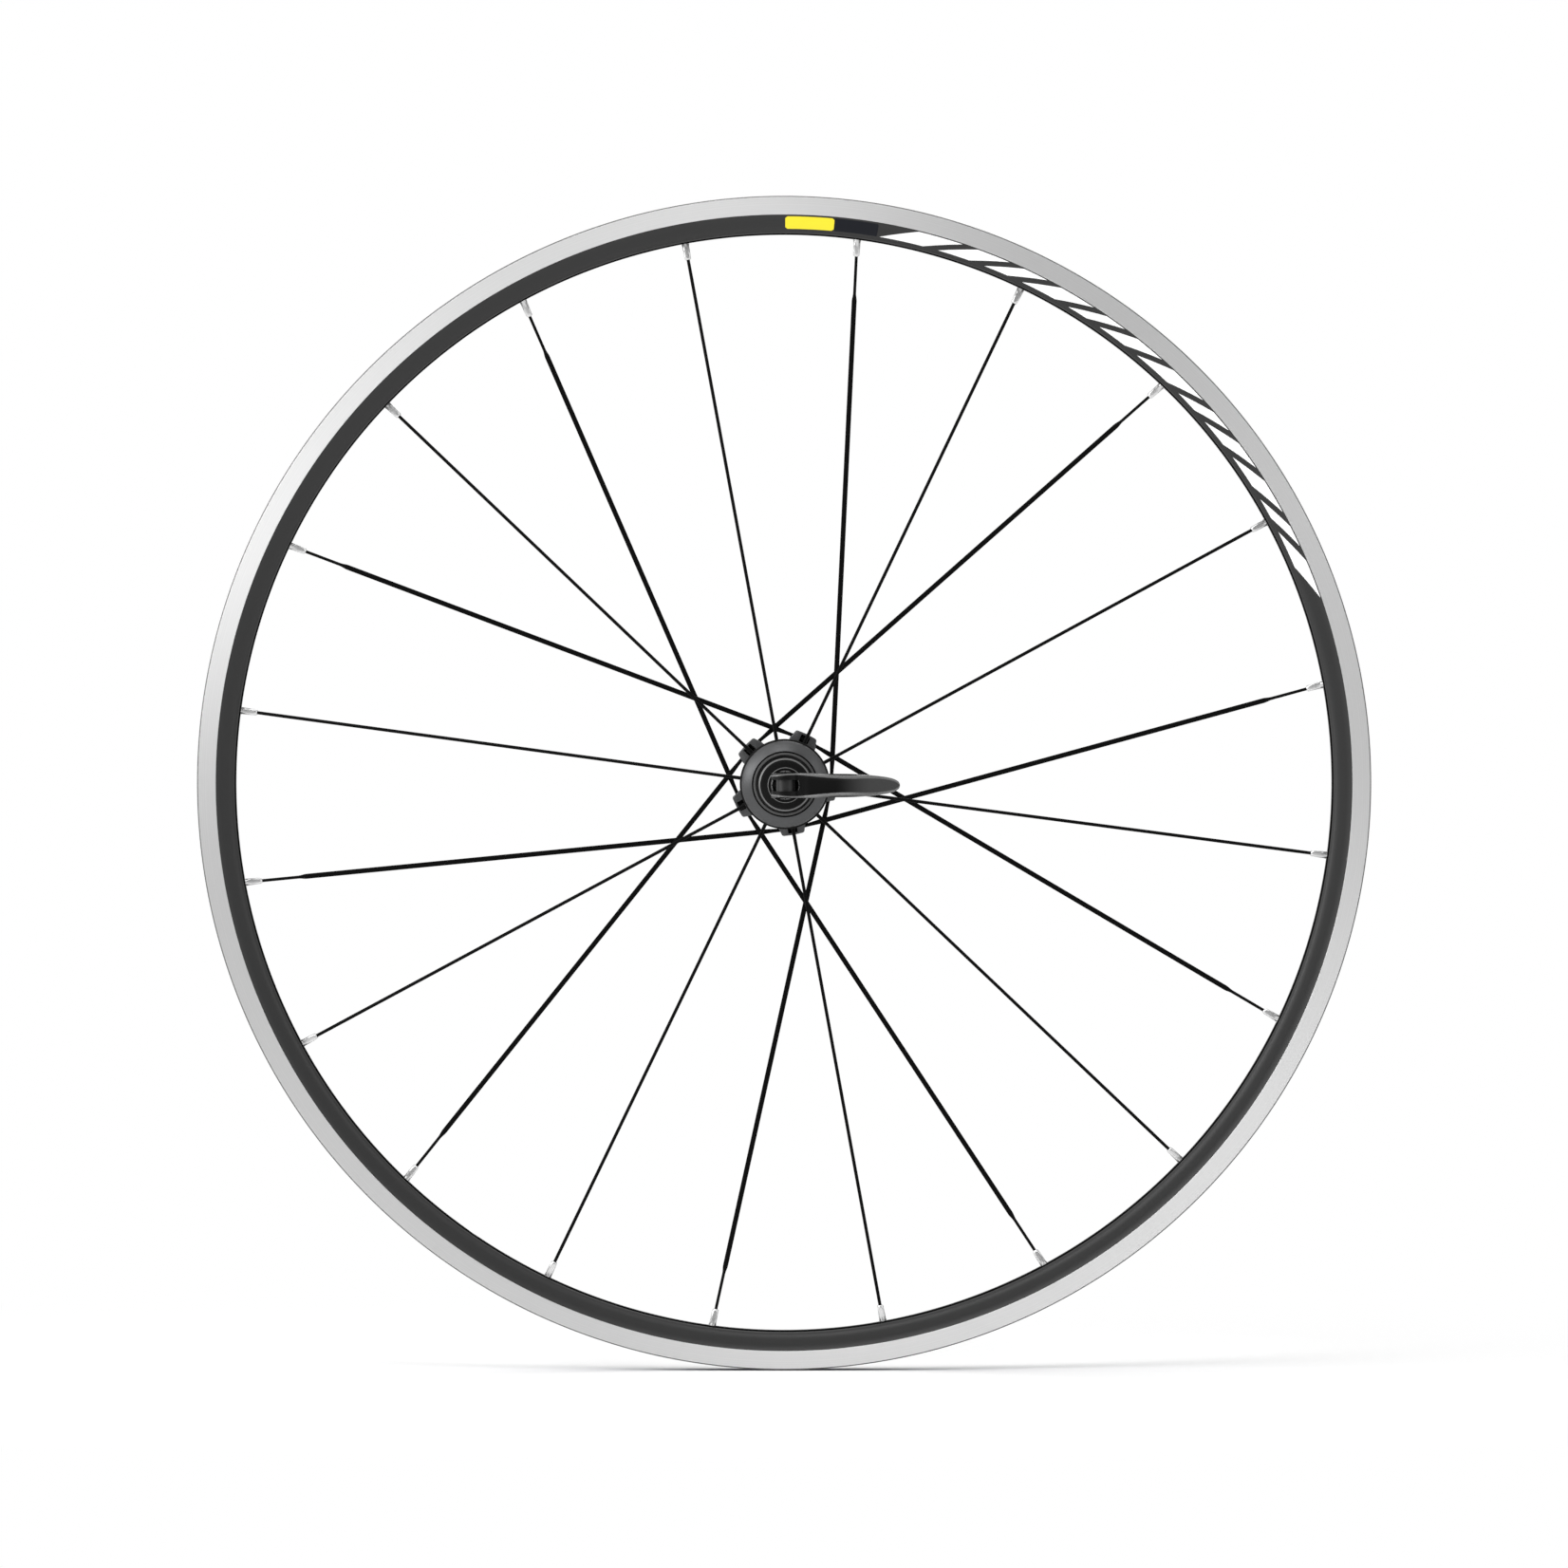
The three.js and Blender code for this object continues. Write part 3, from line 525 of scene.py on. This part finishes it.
# ---- Spokes and nipples ----
def spoke(number, line, kind):
    """A head in the hub, then a round waist or one that flattens into a blade, then the thread."""
    length = length_of(line)
    if kind == "radial":
        waist = [(8, SHANK_R, SHANK_R, 2), (14, RADIAL_R, RADIAL_R, 2), (length - 22, RADIAL_R, RADIAL_R, 2)]
    else:
        steps = [k / 6 for k in range(7)]
        ease = [(t, t * t * (3 - 2 * t)) for t in steps]
        waist = [(7.5 + 9 * t, SHANK_R + (BLADE_HALF - SHANK_R) * e, SHANK_R + (BLADE_THIN - SHANK_R) * e, 2 + e)
                 for t, e in ease]
        waist += [(length - 36.5 + 4.5 * t, BLADE_HALF + (THREAD_R - BLADE_HALF) * e,
                   BLADE_THIN + (THREAD_R - BLADE_THIN) * e, 3 - e) for t, e in ease]
    waist.append((length, THREAD_R, THREAD_R, 2))
    sections = [(0, 1.3, 1.3, 2), (0.3, 1.65, 1.65, 2), (1.5, 1.65, 1.65, 2), (1.75, SHANK_R, SHANK_R, 2)] + waist
    piece = loft(f"spoke_{kind}_smooth_{number:02d}", line[0], line[1] - line[0], sections, [spoke_black], 16)
    fit(piece, "wheel", "spoke_black", f"spoke_{kind}_{number:02d}")


for number, line in enumerate(radial_lines, 1):
    spoke(number, line, "radial")
for number, line in enumerate(crossed_lines, 1):
    spoke(number, line, "crossed")


def nipple(number, line):
    """Its head seats inside the rim, and its square shank points at the hub."""
    top = point_on(line, length_of(line) + 0.9)
    sections = [
        (0.0, 1.0, 1.0, 2), (0.0, 2.5, 2.5, 2), (0.7, 3.1, 3.1, 2), (2.2, 3.1, 3.1, 2), (2.3, 2.05, 2.05, 2),
        (5.0, 2.05, 2.05, 2), (5.3, 1.86, 1.86, 5), (8.0, 1.82, 1.82, 5), (11.2, 1.72, 1.72, 5),
        (12.1, 1.7, 1.7, 3), (12.7, 1.62, 1.62, 2), (13.1, 1.35, 1.35, 2), (13.2, 1.05, 1.05, 2), (12.4, 0.9, 0.9, 2),
    ]
    piece = loft(f"nipple_smooth_{number:02d}", top, line[0] - line[1], sections, [bright_alloy], 32, sharp=28)
    fit(piece, "wheel", "nipple_silver", f"nipple_{number:02d}")


for number, line in enumerate(all_lines, 1):
    nipple(number, line)


# ---- Hub shell ----
def lug(number):
    """A block on the right flange that holds two spoke heads."""
    angle = FIRST_LUG + number * LUG_PITCH
    outline = [(18, 7.7), (23.8, 7.5), (25.2, 7.0), (28.2, 6.1), (28.6, 5.2), (28.95, 0),
               (28.6, -5.2), (28.2, -6.1), (25.2, -7.0), (23.8, -7.5), (18, -7.7)]
    piece = prism(f"lug_{number}", outline, 13.5, 21.8, [hub_satin])
    piece.data.transform(Matrix.Rotation(-math.radians(angle), 4, "Y"))
    rounded(piece, 0.5, 3)
    return settle(piece)


def hub():
    dark, ring = 1, 2
    outline = [
        (12.4, -45.8), (15.3, -45.8), (15.4, -47.5), (15.6, -47.9), (15.9, -48.0), (16.7, -47.9), (16.95, -47.5),
        (17.0, -46.6), (17.5, -46.6), (17.55, -47.1), (17.8, -47.25), (18.6, -46.9), (20.0, -46.1), (21.6, -44.9),
        (22.7, -43.8), (23.2, -43.0), (23.25, -42.1), (23.5, -41.8), (23.9, -41.6), (24.2, -41.2), (24.2, -34.3),
        (24.0, -34.0), (22.0, -34.0), (21.8, -34.2), (21.8, -39.2), (17.6, -39.2), (15.6, -36.5), (14.2, -33.5),
        (13.4, -30), (13.2, -20), (13.6, -6), (15.0, 0), (17.2, 6.0), (18.8, 10.5), (19.6, 13.3), (22.0, 13.5),
        (22.0, 24.0), (21.7, 24.2), (19.6, 24.2), (19.5, 13.9), (15.3, 13.7), (15.3, 6.1), (11.0, 6.1),
        (11.0, -40.6), (12.4, -40.6),
    ]
    # Painted shade: the seal recess, the groove and the flange's outer edge take the near-black finish.
    slots = {i: dark for i in [0, 1, 6, 7, 8, *range(15, 22)]}
    slots.update({i: ring for i in (2, 3, 4, 5)})
    body = turned("hub_shell_smooth", outline, [hub_satin, hub_painted_shade, hub_ring], slots, 256, 26)
    lugs = [lug(k) for k in range(5)]
    combine(body, lugs, "UNION")
    bore = turned("cut_bore", [(0, 13.95), (19.5, 13.95), (19.5, 26), (0, 26)], [hub_satin], sides=128)
    windows = [block(f"cut_window_{k}", (22.8, 12, -2.6), (27.8, 20.7, 2.6), FIRST_LUG + k * LUG_PITCH)
               for k in range(5)]
    holes = [rod("cut_hole", point_on(line, 1.2), point_on(line, 10), 1.3, 20) for line in all_lines]
    combine(body, [bore, *windows, *holes], "DIFFERENCE", 30)
    return body


fit(hub(), "wheel", "hub_grey", "hub_shell")

seal_outline = [(14.3, -45.7), (15.25, -45.7), (15.25, -46.6), (14.3, -46.6)]
fit(turned("hub_seal_left", seal_outline, [seal_rubber], sides=128), "wheel", "black_alloy")


# ---- Axle, end caps and bearings ----
axle_outline = [
    (2.8, -AXLE_END), (4.6, -AXLE_END), (4.9, -AXLE_END + 0.3), (4.9, -59), (5.7, -59), (5.7, -40.6), (8.2, -40.6),
    (8.2, 2), (9.8, 2), (9.8, 6.1), (8.2, 6.1), (8.2, 43.7), (5.7, 43.7), (5.7, 59), (4.9, 59),
    (4.9, AXLE_END - 0.3), (4.6, AXLE_END), (2.8, AXLE_END),
]
fit(turned("axle_smooth", axle_outline, [steel], sides=96), "axle_set", "steel", "axle")

cap_left = [
    (6.0, -47.2), (8.0, -47.2), (8.0, -48.6), (13.9, -48.6), (14.2, -48.9), (14.2, -64.1), (13.4, -64.8), (13.2, -64.8),
    (13.0, -DROPOUT_FACE), (7.2, -DROPOUT_FACE), (7.0, -64.8), (5.4, -64.8), (5.2, -64.7), (5.2, -59.3), (6.0, -59.3),
]
fit(turned("end_cap_left_smooth", cap_left, [black_satin, hub_chamfer], {5: 1}, 160, 24),
    "axle_set", "black_alloy", "end_cap_left")

cap_right = [
    (6.0, 50.3), (8.0, 50.3), (8.0, 52.0), (11.3, 52.0), (11.6, 52.3), (11.6, 64.1), (11.3, 64.6), (11.0, DROPOUT_FACE),
    (5.5, DROPOUT_FACE), (5.2, 64.7), (5.2, 59.3), (6.0, 59.3),
]
fit(turned("end_cap_right_smooth", cap_right, [black_satin, hub_chamfer], {5: 1}, 160, 24),
    "axle_set", "black_alloy", "end_cap_right")


def bearing(name, node, body, inner, outer, low, high):
    """Two steel races with a recessed seal between them."""
    wall = (outer - inner) * 0.2
    outline = [
        (inner, low), (inner + wall, low), (inner + wall, low + 0.3), (outer - wall, low + 0.3), (outer - wall, low),
        (outer, low), (outer, high), (outer - wall, high), (outer - wall, high - 0.3), (inner + wall, high - 0.3),
        (inner + wall, high), (inner, high),
    ]
    piece = turned(name, outline, [steel, seal_rubber], {2: 1, 8: 1}, 96, 24)
    fit(piece, body, "steel", node)


bearing("bearing_left_races", "bearing_left", "wheel", 6, 12, -46.9, -40.9)
bearing("bearing_right_races", "bearing_right", "wheel", 8.5, 15, 6.4, 13.4)
bearing("bearing_freehub_races", "bearing_freehub", "freehub", 6, 12, 44, 50)


# ---- Freehub ----
FREEHUB_END = 60.5
FREEHUB_SHOULDER = 26.4
KEYS = 9
KEY_OUTER = 17.3
KEY_ROOT = 16.0
KEY_HALF = 10
NARROW_KEY_HALF = 6.5
ARC_STEPS = 8
PAWL_ANGLES = (40, 220)


def spline_outline():
    """Keys and the grooves between them. The first key is narrower, so a sprocket fits one way only."""
    halves = [NARROW_KEY_HALF] + [KEY_HALF] * (KEYS - 1)
    pitch = 360 / KEYS
    points = []
    for k, half in enumerate(halves):
        middle = k * pitch
        start, end = middle + half, middle + pitch - halves[(k + 1) % KEYS]
        points += [polar(KEY_OUTER, middle - half + 2 * half * step / ARC_STEPS) for step in range(ARC_STEPS + 1)]
        points += [polar(KEY_ROOT, start + (end - start) * step / ARC_STEPS) for step in range(ARC_STEPS + 1)]
    return [(p.x, p.z) for p in points]


def freehub():
    body = prism("freehub_smooth", spline_outline(), FREEHUB_SHOULDER - 0.5, FREEHUB_END, [zinc], sharp=20)
    nose_outline = [
        (0, 14.6), (14.6, 14.6), (14.8, 14.8), (14.8, 24.6), (21.1, 24.6), (21.4, 24.9), (21.4, 26.1),
        (21.1, FREEHUB_SHOULDER), (0, FREEHUB_SHOULDER),
    ]
    nose = turned("nose", nose_outline, [zinc], sides=160)
    combine(body, [nose], "UNION", 24)
    bore_outline = [(0, 10), (9.2, 10), (9.2, 43.7), (12.3, 43.7), (12.3, 52), (14.6, 52), (14.6, 62), (0, 62)]
    bore = turned("cut_bore", bore_outline, [zinc], sides=128)
    ring_groove = turned("cut_groove", [(15.6, 57.6), (18, 57.6), (18, 58.5), (15.6, 58.5)], [zinc], sides=128)
    pockets = []
    for turn in PAWL_ANGLES:
        outline = [(13.2, -2.3), (11.4, -1.5), (10.9, 0), (11.3, 1.4), (11.7, 9.4), (18, 9.4), (18, -2.3)]
        pocket = prism("cut_pocket", outline, 15.1, 20.9, [zinc])
        pocket.data.transform(Matrix.Rotation(-math.radians(turn), 4, "Y"))
        pockets.append(pocket)
    combine(body, [bore, ring_groove, *pockets], "DIFFERENCE", 24)
    return rounded(body, 0.15, 2, 40)


fit(freehub(), "freehub", "freehub_steel", "freehub_body")
seal = turned("freehub_seal", [(12.1, 53.2), (14.3, 53.2), (14.3, 55.0), (13.0, 55.4), (12.1, 55.0)], [seal_rubber])
fit(seal, "freehub", "black_alloy")

for node in ("ratchet_ring", "pawl_1", "pawl_2"):
    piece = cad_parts[node]
    piece.data.materials.clear()
    piece.data.materials.append(steel)


# ---- Quick-release skewer ----
rod_outline = [
    (0, BARREL_Y - 1.6), (ROD_R, BARREL_Y - 1.6), (ROD_R, ROD_END - 0.5), (ROD_R - 0.5, ROD_END), (0, ROD_END),
]
fit(turned("rod_smooth", rod_outline, [steel], sides=48), "skewer", "steel", "qr_rod")


def barrel():
    sections = [(0, 4.6, 4.6, 2), (0.4, BARREL_R, BARREL_R, 2), (12.4, BARREL_R, BARREL_R, 2), (12.8, 4.6, 4.6, 2)]
    body = loft("barrel_smooth", Vector((0, BARREL_Y, -6.4)), Vector((0, 0, 1)), sections, [barrel_black], 64)
    hole = rod("cut_rod", Vector((0, BARREL_Y - 2, 0)), Vector((0, BARREL_Y + 8, 0)), ROD_R + 0.1)
    return combine(body, [hole], "DIFFERENCE")


fit(barrel(), "skewer", "steel", "qr_barrel")


def clamp_teeth(face, direction, inner, outer, count=36):
    """Radial grooves in a clamping face, as cutters."""
    outline = [(inner - 0.5, -0.22), (outer + 0.5, -0.34), (outer + 0.5, 0.34), (inner - 0.5, 0.22)]
    low, high = sorted((face - direction * 0.01, face - direction * 0.4))
    cutters = []
    for k in range(count):
        groove = prism("cut_tooth", outline, low, high, [black_satin])
        groove.data.transform(Matrix.Rotation(-2 * math.pi * k / count, 4, "Y"))
        cutters.append(groove)
    joined = cutters[0]
    shape = bmesh.new()
    for cutter in cutters:
        shape.from_mesh(cutter.data)
    shape.to_mesh(joined.data)
    shape.free()
    for cutter in cutters[1:]:
        bpy.data.objects.remove(cutter)
    return joined


def base():
    outline = [
        (ROD_R + 0.2, -75), (7.4, -75), (7.6, -74.8), (7.6, -QR_FACE), (9.2, -QR_FACE), (9.5, -71.8), (9.5, -74.6),
        (9.2, -74.9), (9.2, -75.3), (9.5, -75.6), (9.5, -78.2), (9.15, -78.6), (8.9, -78.6), (8.9, -78.2), (7.9, -78.2),
        (7.8, -78.4), (7.15, -79), (6.7, -79), (ROD_R + 0.2, -79),
    ]
    body = turned("base_smooth", outline, [black_satin, hub_chamfer], {10: 1, 15: 1}, 160, 24)
    middle = Vector((0, SADDLE_Y - SADDLE_R, 0))
    half = Vector((0, 0, SADDLE_HALF_WIDTH))
    saddle = rod("cut_saddle", middle - half, middle + half, SADDLE_R, 128)
    grooves = clamp_teeth(-QR_FACE, 1, 7.6, 9.5)
    grip = clamp_teeth(-79, -1, 7.4, 8.2, 16)
    return combine(body, [saddle, grooves, grip], "DIFFERENCE", 24)


fit(base(), "clamp_base", "black_alloy", "qr_base")


def along_curve(points, x):
    """The height at x of a smooth line through points given from left to right."""
    if x <= points[0][0]:
        return points[0][1]
    for i in range(len(points) - 1):
        (x0, y0), (x1, y1) = points[i], points[i + 1]
        if x <= x1:
            before, after = points[max(i - 1, 0)], points[min(i + 2, len(points) - 1)]
            slope0 = (y1 - before[1]) / (x1 - before[0])
            slope1 = (after[1] - y0) / (after[0] - x0)
            t = (x - x0) / (x1 - x0)
            step = x1 - x0
            return ((2 * t**3 - 3 * t**2 + 1) * y0 + (t**3 - 2 * t**2 + t) * step * slope0
                    + (3 * t**2 - 2 * t**3) * y1 + (t**3 - t**2) * step * slope1)
    return points[-1][1]


# The lever's shape along X: heights of its two faces, and half widths of its body, ridge and dish.
ARM_OUTSIDE = [
    (6.39, -3.67), (9.4, -4.5), (13, -5.5), (23, -5.3), (37, -4.2), (49, -1.9), (59, 2.2), (LEVER_TIP_X, 3.6),
]
ARM_INSIDE = [
    (7.0, 4.25), (9.0, 2.2), (13, -0.6), (23, -1.8), (35, -1.2), (47, 1.2), (59, 4.7), (LEVER_TIP_X, 4.4),
]
BODY_HALF = [
    (-8, 6.7), (11, 6.7), (15, 6.6), (19, 6.4), (27, 6.3), (35, 6.2), (43, 5.8), (47, 5.35), (51, 4.9),
    (55, 4.25), (58, 3.4), (60, 2.35), (60.9, 1.3), (LEVER_TIP_X, 0.3),
]
RIDGE_HALF = [
    (-8, 5.5), (2, 6.4), (9, 6.4), (13, 6.2), (19, 5.8), (27, 5.4), (35, 5.35), (43, 5.4), (47, 5.2),
    (51, 4.8), (55, 4.15), (58, 3.3), (60, 2.25), (60.9, 1.2), (LEVER_TIP_X, 0.25),
]
DISH_HALF = [
    (-8, 4.6), (2, 5.6), (8, 5.5), (13, 5.1), (19, 4.5), (27, 3.9), (35, 3.65), (43, 3.8), (49, 3.7),
    (55, 3.0), (59, 1.8), (LEVER_TIP_X, 0.1),
]
DISH_DEPTH = [
    (-8, 0.0), (7, 0.1), (13, 0.7), (21, 1.0), (35, 0.9), (47, 0.5), (55, 0.3), (59, 0.15), (LEVER_TIP_X, 0.02),
]
# Keeps the cam's outer face inside the CAD's.
CAM_INSET = 0.04


def lever_section(x):
    """Half of the lever's cross section at x, from the middle of its outer face round to its inner face."""
    cam = math.sqrt(max(CAM_R**2 - x**2, 0))
    outside = CAM_OFFSET - cam + CAM_INSET if x < ARM_OUTSIDE[0][0] else along_curve(ARM_OUTSIDE, x)
    inside = CAM_OFFSET + cam if x < ARM_INSIDE[0][0] else along_curve(ARM_INSIDE, x)
    thick = max(inside - outside, 0.02)
    body, ridge, dish = (along_curve(line, x) for line in (BODY_HALF, RIDGE_HALF, DISH_HALF))
    depth = min(along_curve(DISH_DEPTH, x), 0.4 * thick)
    slope = min(0.9, 0.3 * thick)
    return [
        (0, outside + depth), (0.55 * dish, outside + depth), (0.85 * dish, outside + 0.97 * depth),
        (dish, outside + 0.85 * depth), (dish + 0.4 * (ridge - dish), outside + 0.3 * depth),
        (dish + 0.7 * (ridge - dish), outside + 0.02 * thick), (0.92 * ridge + 0.08 * dish, outside + 0.25 * slope),
        (ridge, outside + slope), (body, outside + max(0.55 * thick, slope * 1.1)),
        (body - 0.02, outside + 0.75 * thick), (0.97 * body, inside - 0.1 * thick), (0.9 * body, inside), (0, inside),
    ]


def lever():
    stations = [-7.7, -7.5, -7.25] + [-7.0 + 0.5 * k for k in range(132)] + [59.2 + 0.2 * k for k in range(10)]
    stations.append(LEVER_TIP_X)
    points, faces, which = [], [], []
    face, bevel_highlight, side = 0, 1, 2
    for x in stations:
        half = lever_section(x)
        loop = half + [(-z, y) for z, y in reversed(half[1:-1])]
        points += [(x, y + BARREL_Y, z) for z, y in loop]
    count = len(points) // len(stations)
    for k in range(len(stations) - 1):
        for i in range(count):
            j = (i + 1) % count
            faces.append((k * count + i, k * count + j, (k + 1) * count + j, (k + 1) * count + i))
            stretch = min(i, count - 1 - i)
            # Painted highlight: the bevel stretches of each section take the lighter grey finish.
            which.append(face if stretch < 3 else bevel_highlight if stretch < 7 else side)
    last = (len(stations) - 1) * count
    faces += [tuple(range(count)), tuple(range(last, last + count))]
    which += [side, side]
    body = make("lever_smooth", points, faces, [lever_face, lever_bevel_highlight, black_gloss], which, sharp=38)
    corner = 0.8
    turns = [t * math.pi / 12 for t in range(7)]
    slot_end = [(SLOT_END_X - corner * (1 - math.sin(a)), SLOT_HALF_WIDTH - corner * (1 - math.cos(a))) for a in turns]
    upper = [(-20, SLOT_HALF_WIDTH)] + slot_end
    outline = upper + [(x, -z) for x, z in reversed(upper)]
    slot = prism("cut_slot", outline, BARREL_Y - 20, BARREL_Y + 20, [black_gloss])
    pivot = rod("cut_pivot", Vector((0, BARREL_Y, -15)), Vector((0, BARREL_Y, 15)), BARREL_R + 0.15, 64)
    combine(body, [slot, pivot], "DIFFERENCE", 38)
    rounded(body, 0.22, 2, 55)
    # The rounded edges take the painted highlight too.
    body.modifiers["edges"].material = bevel_highlight
    return body


fit(lever(), "lever", "lever_black", "qr_lever")


def nut():
    outline = [
        (ROD_R + 0.2, 75), (7.4, 75), (7.6, 74.8), (7.6, QR_FACE), (9.2, QR_FACE), (9.5, 71.8), (9.5, 75.3),
        (9.0, 75.9), (7.3, 77.4), (6.6, 81.2), (5.6, 82.2), (ROD_R + 0.6, 82.2), (ROD_R + 0.2, 81.8),
    ]
    body = turned("nut_smooth", outline, [black_satin], sides=160, sharp=24)
    flats = [block("cut_flat", (-15, 77, low), (15, 87, high)) for low, high in ((6, 16), (-16, -6))]
    grooves = clamp_teeth(QR_FACE, -1, 7.6, 9.5)
    combine(body, [*flats, grooves], "DIFFERENCE", 24)
    return rounded(body, 0.12, 2, 40)


fit(nut(), "nut", "black_alloy", "qr_nut")


def coil(name, side):
    """A conical spring, narrow at the axle's end and wide in the cup."""
    wire = 0.4
    narrow, wide = AXLE_END + 0.8, QR_FACE + 3.5 - 0.7
    steps, ring = 240, 12
    points = []
    for step in range(steps + 1):
        t = step / steps
        angle = 360 * 3.25 * t
        outward = polar(1, angle)
        centre = outward * (3.9 + 2.9 * t) + Vector((0, side * (narrow + (wide - narrow) * t), 0))
        for k in range(ring):
            a = 2 * math.pi * k / ring
            points.append(centre + outward * (wire * math.cos(a)) + Vector((0, wire * math.sin(a), 0)))
    faces = tube_faces(steps + 1, ring)
    faces += [tuple(range(ring)), tuple(range(steps * ring, steps * ring + ring))]
    return make(name, points, faces, [steel], sharp=60)


fit(coil("spring_left_smooth", -1), "clamp_base", "steel", "qr_spring_left")
fit(coil("spring_right_smooth", 1), "skewer", "steel", "qr_spring_right")


# ---- Floor, light and camera ----
FLOOR_Z = -(RIM_OUTER + 0.4) * MM
bpy.ops.mesh.primitive_circle_add(vertices=128, radius=4, fill_type="NGON", location=(0, 0.3, FLOOR_Z))
floor = bpy.context.object
floor.name = "floor"
floor.data.materials.append(floor_pale)


def studio_world():
    """White to the camera.

    To the object it is bright round the axle, most of all from the left, and dark along it.
    """
    world = bpy.data.worlds.new("studio")
    bpy.context.scene.world = world
    world.use_nodes = True
    nodes, links = world.node_tree.nodes, world.node_tree.links
    seen = nodes["Background"]
    seen.inputs["Color"].default_value = (1, 1, 1, 1)
    place = nodes.new("ShaderNodeTexCoord")
    parts = nodes.new("ShaderNodeSeparateXYZ")
    links.new(place.outputs["Generated"], parts.inputs[0])
    facing = nodes.new("ShaderNodeMath")
    facing.operation = "ABSOLUTE"
    links.new(parts.outputs["Y"], facing.inputs[0])
    ramp = nodes.new("ShaderNodeValToRGB")
    ramp.color_ramp.elements[0].position = 0.45
    ramp.color_ramp.elements[0].color = (1, 1, 1, 1)
    ramp.color_ramp.elements[1].position = 0.93
    ramp.color_ramp.elements[1].color = (0.09, 0.09, 0.09, 1)
    links.new(facing.outputs[0], ramp.inputs["Fac"])
    lighting = nodes.new("ShaderNodeBackground")
    links.new(ramp.outputs["Color"], lighting.inputs["Color"])
    from_left = nodes.new("ShaderNodeMapRange")
    from_left.inputs["From Min"].default_value = -1
    from_left.inputs["To Min"].default_value = 1.25
    from_left.inputs["To Max"].default_value = 0.65
    links.new(parts.outputs["X"], from_left.inputs["Value"])
    links.new(from_left.outputs["Result"], lighting.inputs["Strength"])
    ray = nodes.new("ShaderNodeLightPath")
    mix = nodes.new("ShaderNodeMixShader")
    links.new(ray.outputs["Is Camera Ray"], mix.inputs["Fac"])
    links.new(lighting.outputs[0], mix.inputs[1])
    links.new(seen.outputs[0], mix.inputs[2])
    links.new(mix.outputs[0], nodes["World Output"].inputs["Surface"])


studio_world()
bpy.context.scene.view_settings.view_transform = "Standard"


def softbox(name, place, size, watts):
    """A round lamp aimed at the middle of the wheel."""
    light = bpy.data.lights.new(name, "AREA")
    light.shape = "DISK"
    light.size = size
    light.energy = watts
    lamp = bpy.data.objects.new(name, light)
    lamp.location = place
    lamp.rotation_euler = (-Vector(place)).to_track_quat("-Z", "Y").to_euler()
    bpy.context.scene.collection.objects.link(lamp)


softbox("key", (-1.5, -2.0, 1.3), 1.5, 18)
softbox("top", (-0.2, -1.9, 2.2), 1.2, 16)
softbox("fill", (1.8, -1.6, 0.9), 1.4, 8)
softbox("left", (-1.2, -0.6, 0.4), 0.7, 6)
softbox("back", (0.4, 2.2, 1.8), 1.6, 14)

WHEELS_ACROSS_PICTURE = 1.337
SENSOR = 36
CAMERA_DISTANCE = 8.0
CAMERA_RISE = 0.95
CAMERA_SIDE = -0.5
AIM = Vector((-0.08, 0, -0.63)) * MM
camera_data = bpy.data.cameras.new("photo_view")
camera_data.sensor_width = SENSOR
camera_data.lens = SENSOR * CAMERA_DISTANCE / (2 * RIM_OUTER * MM * WHEELS_ACROSS_PICTURE)
camera_data.clip_end = 50
camera = bpy.data.objects.new("photo_view", camera_data)
rise, swing = math.radians(CAMERA_RISE), math.radians(CAMERA_SIDE)
back = Vector((math.sin(swing) * math.cos(rise), -math.cos(swing) * math.cos(rise), math.sin(rise)))
camera.location = back * CAMERA_DISTANCE + AIM
camera.rotation_euler = back.to_track_quat("Z", "Y").to_euler()
bpy.context.scene.collection.objects.link(camera)
bpy.context.scene.camera = camera
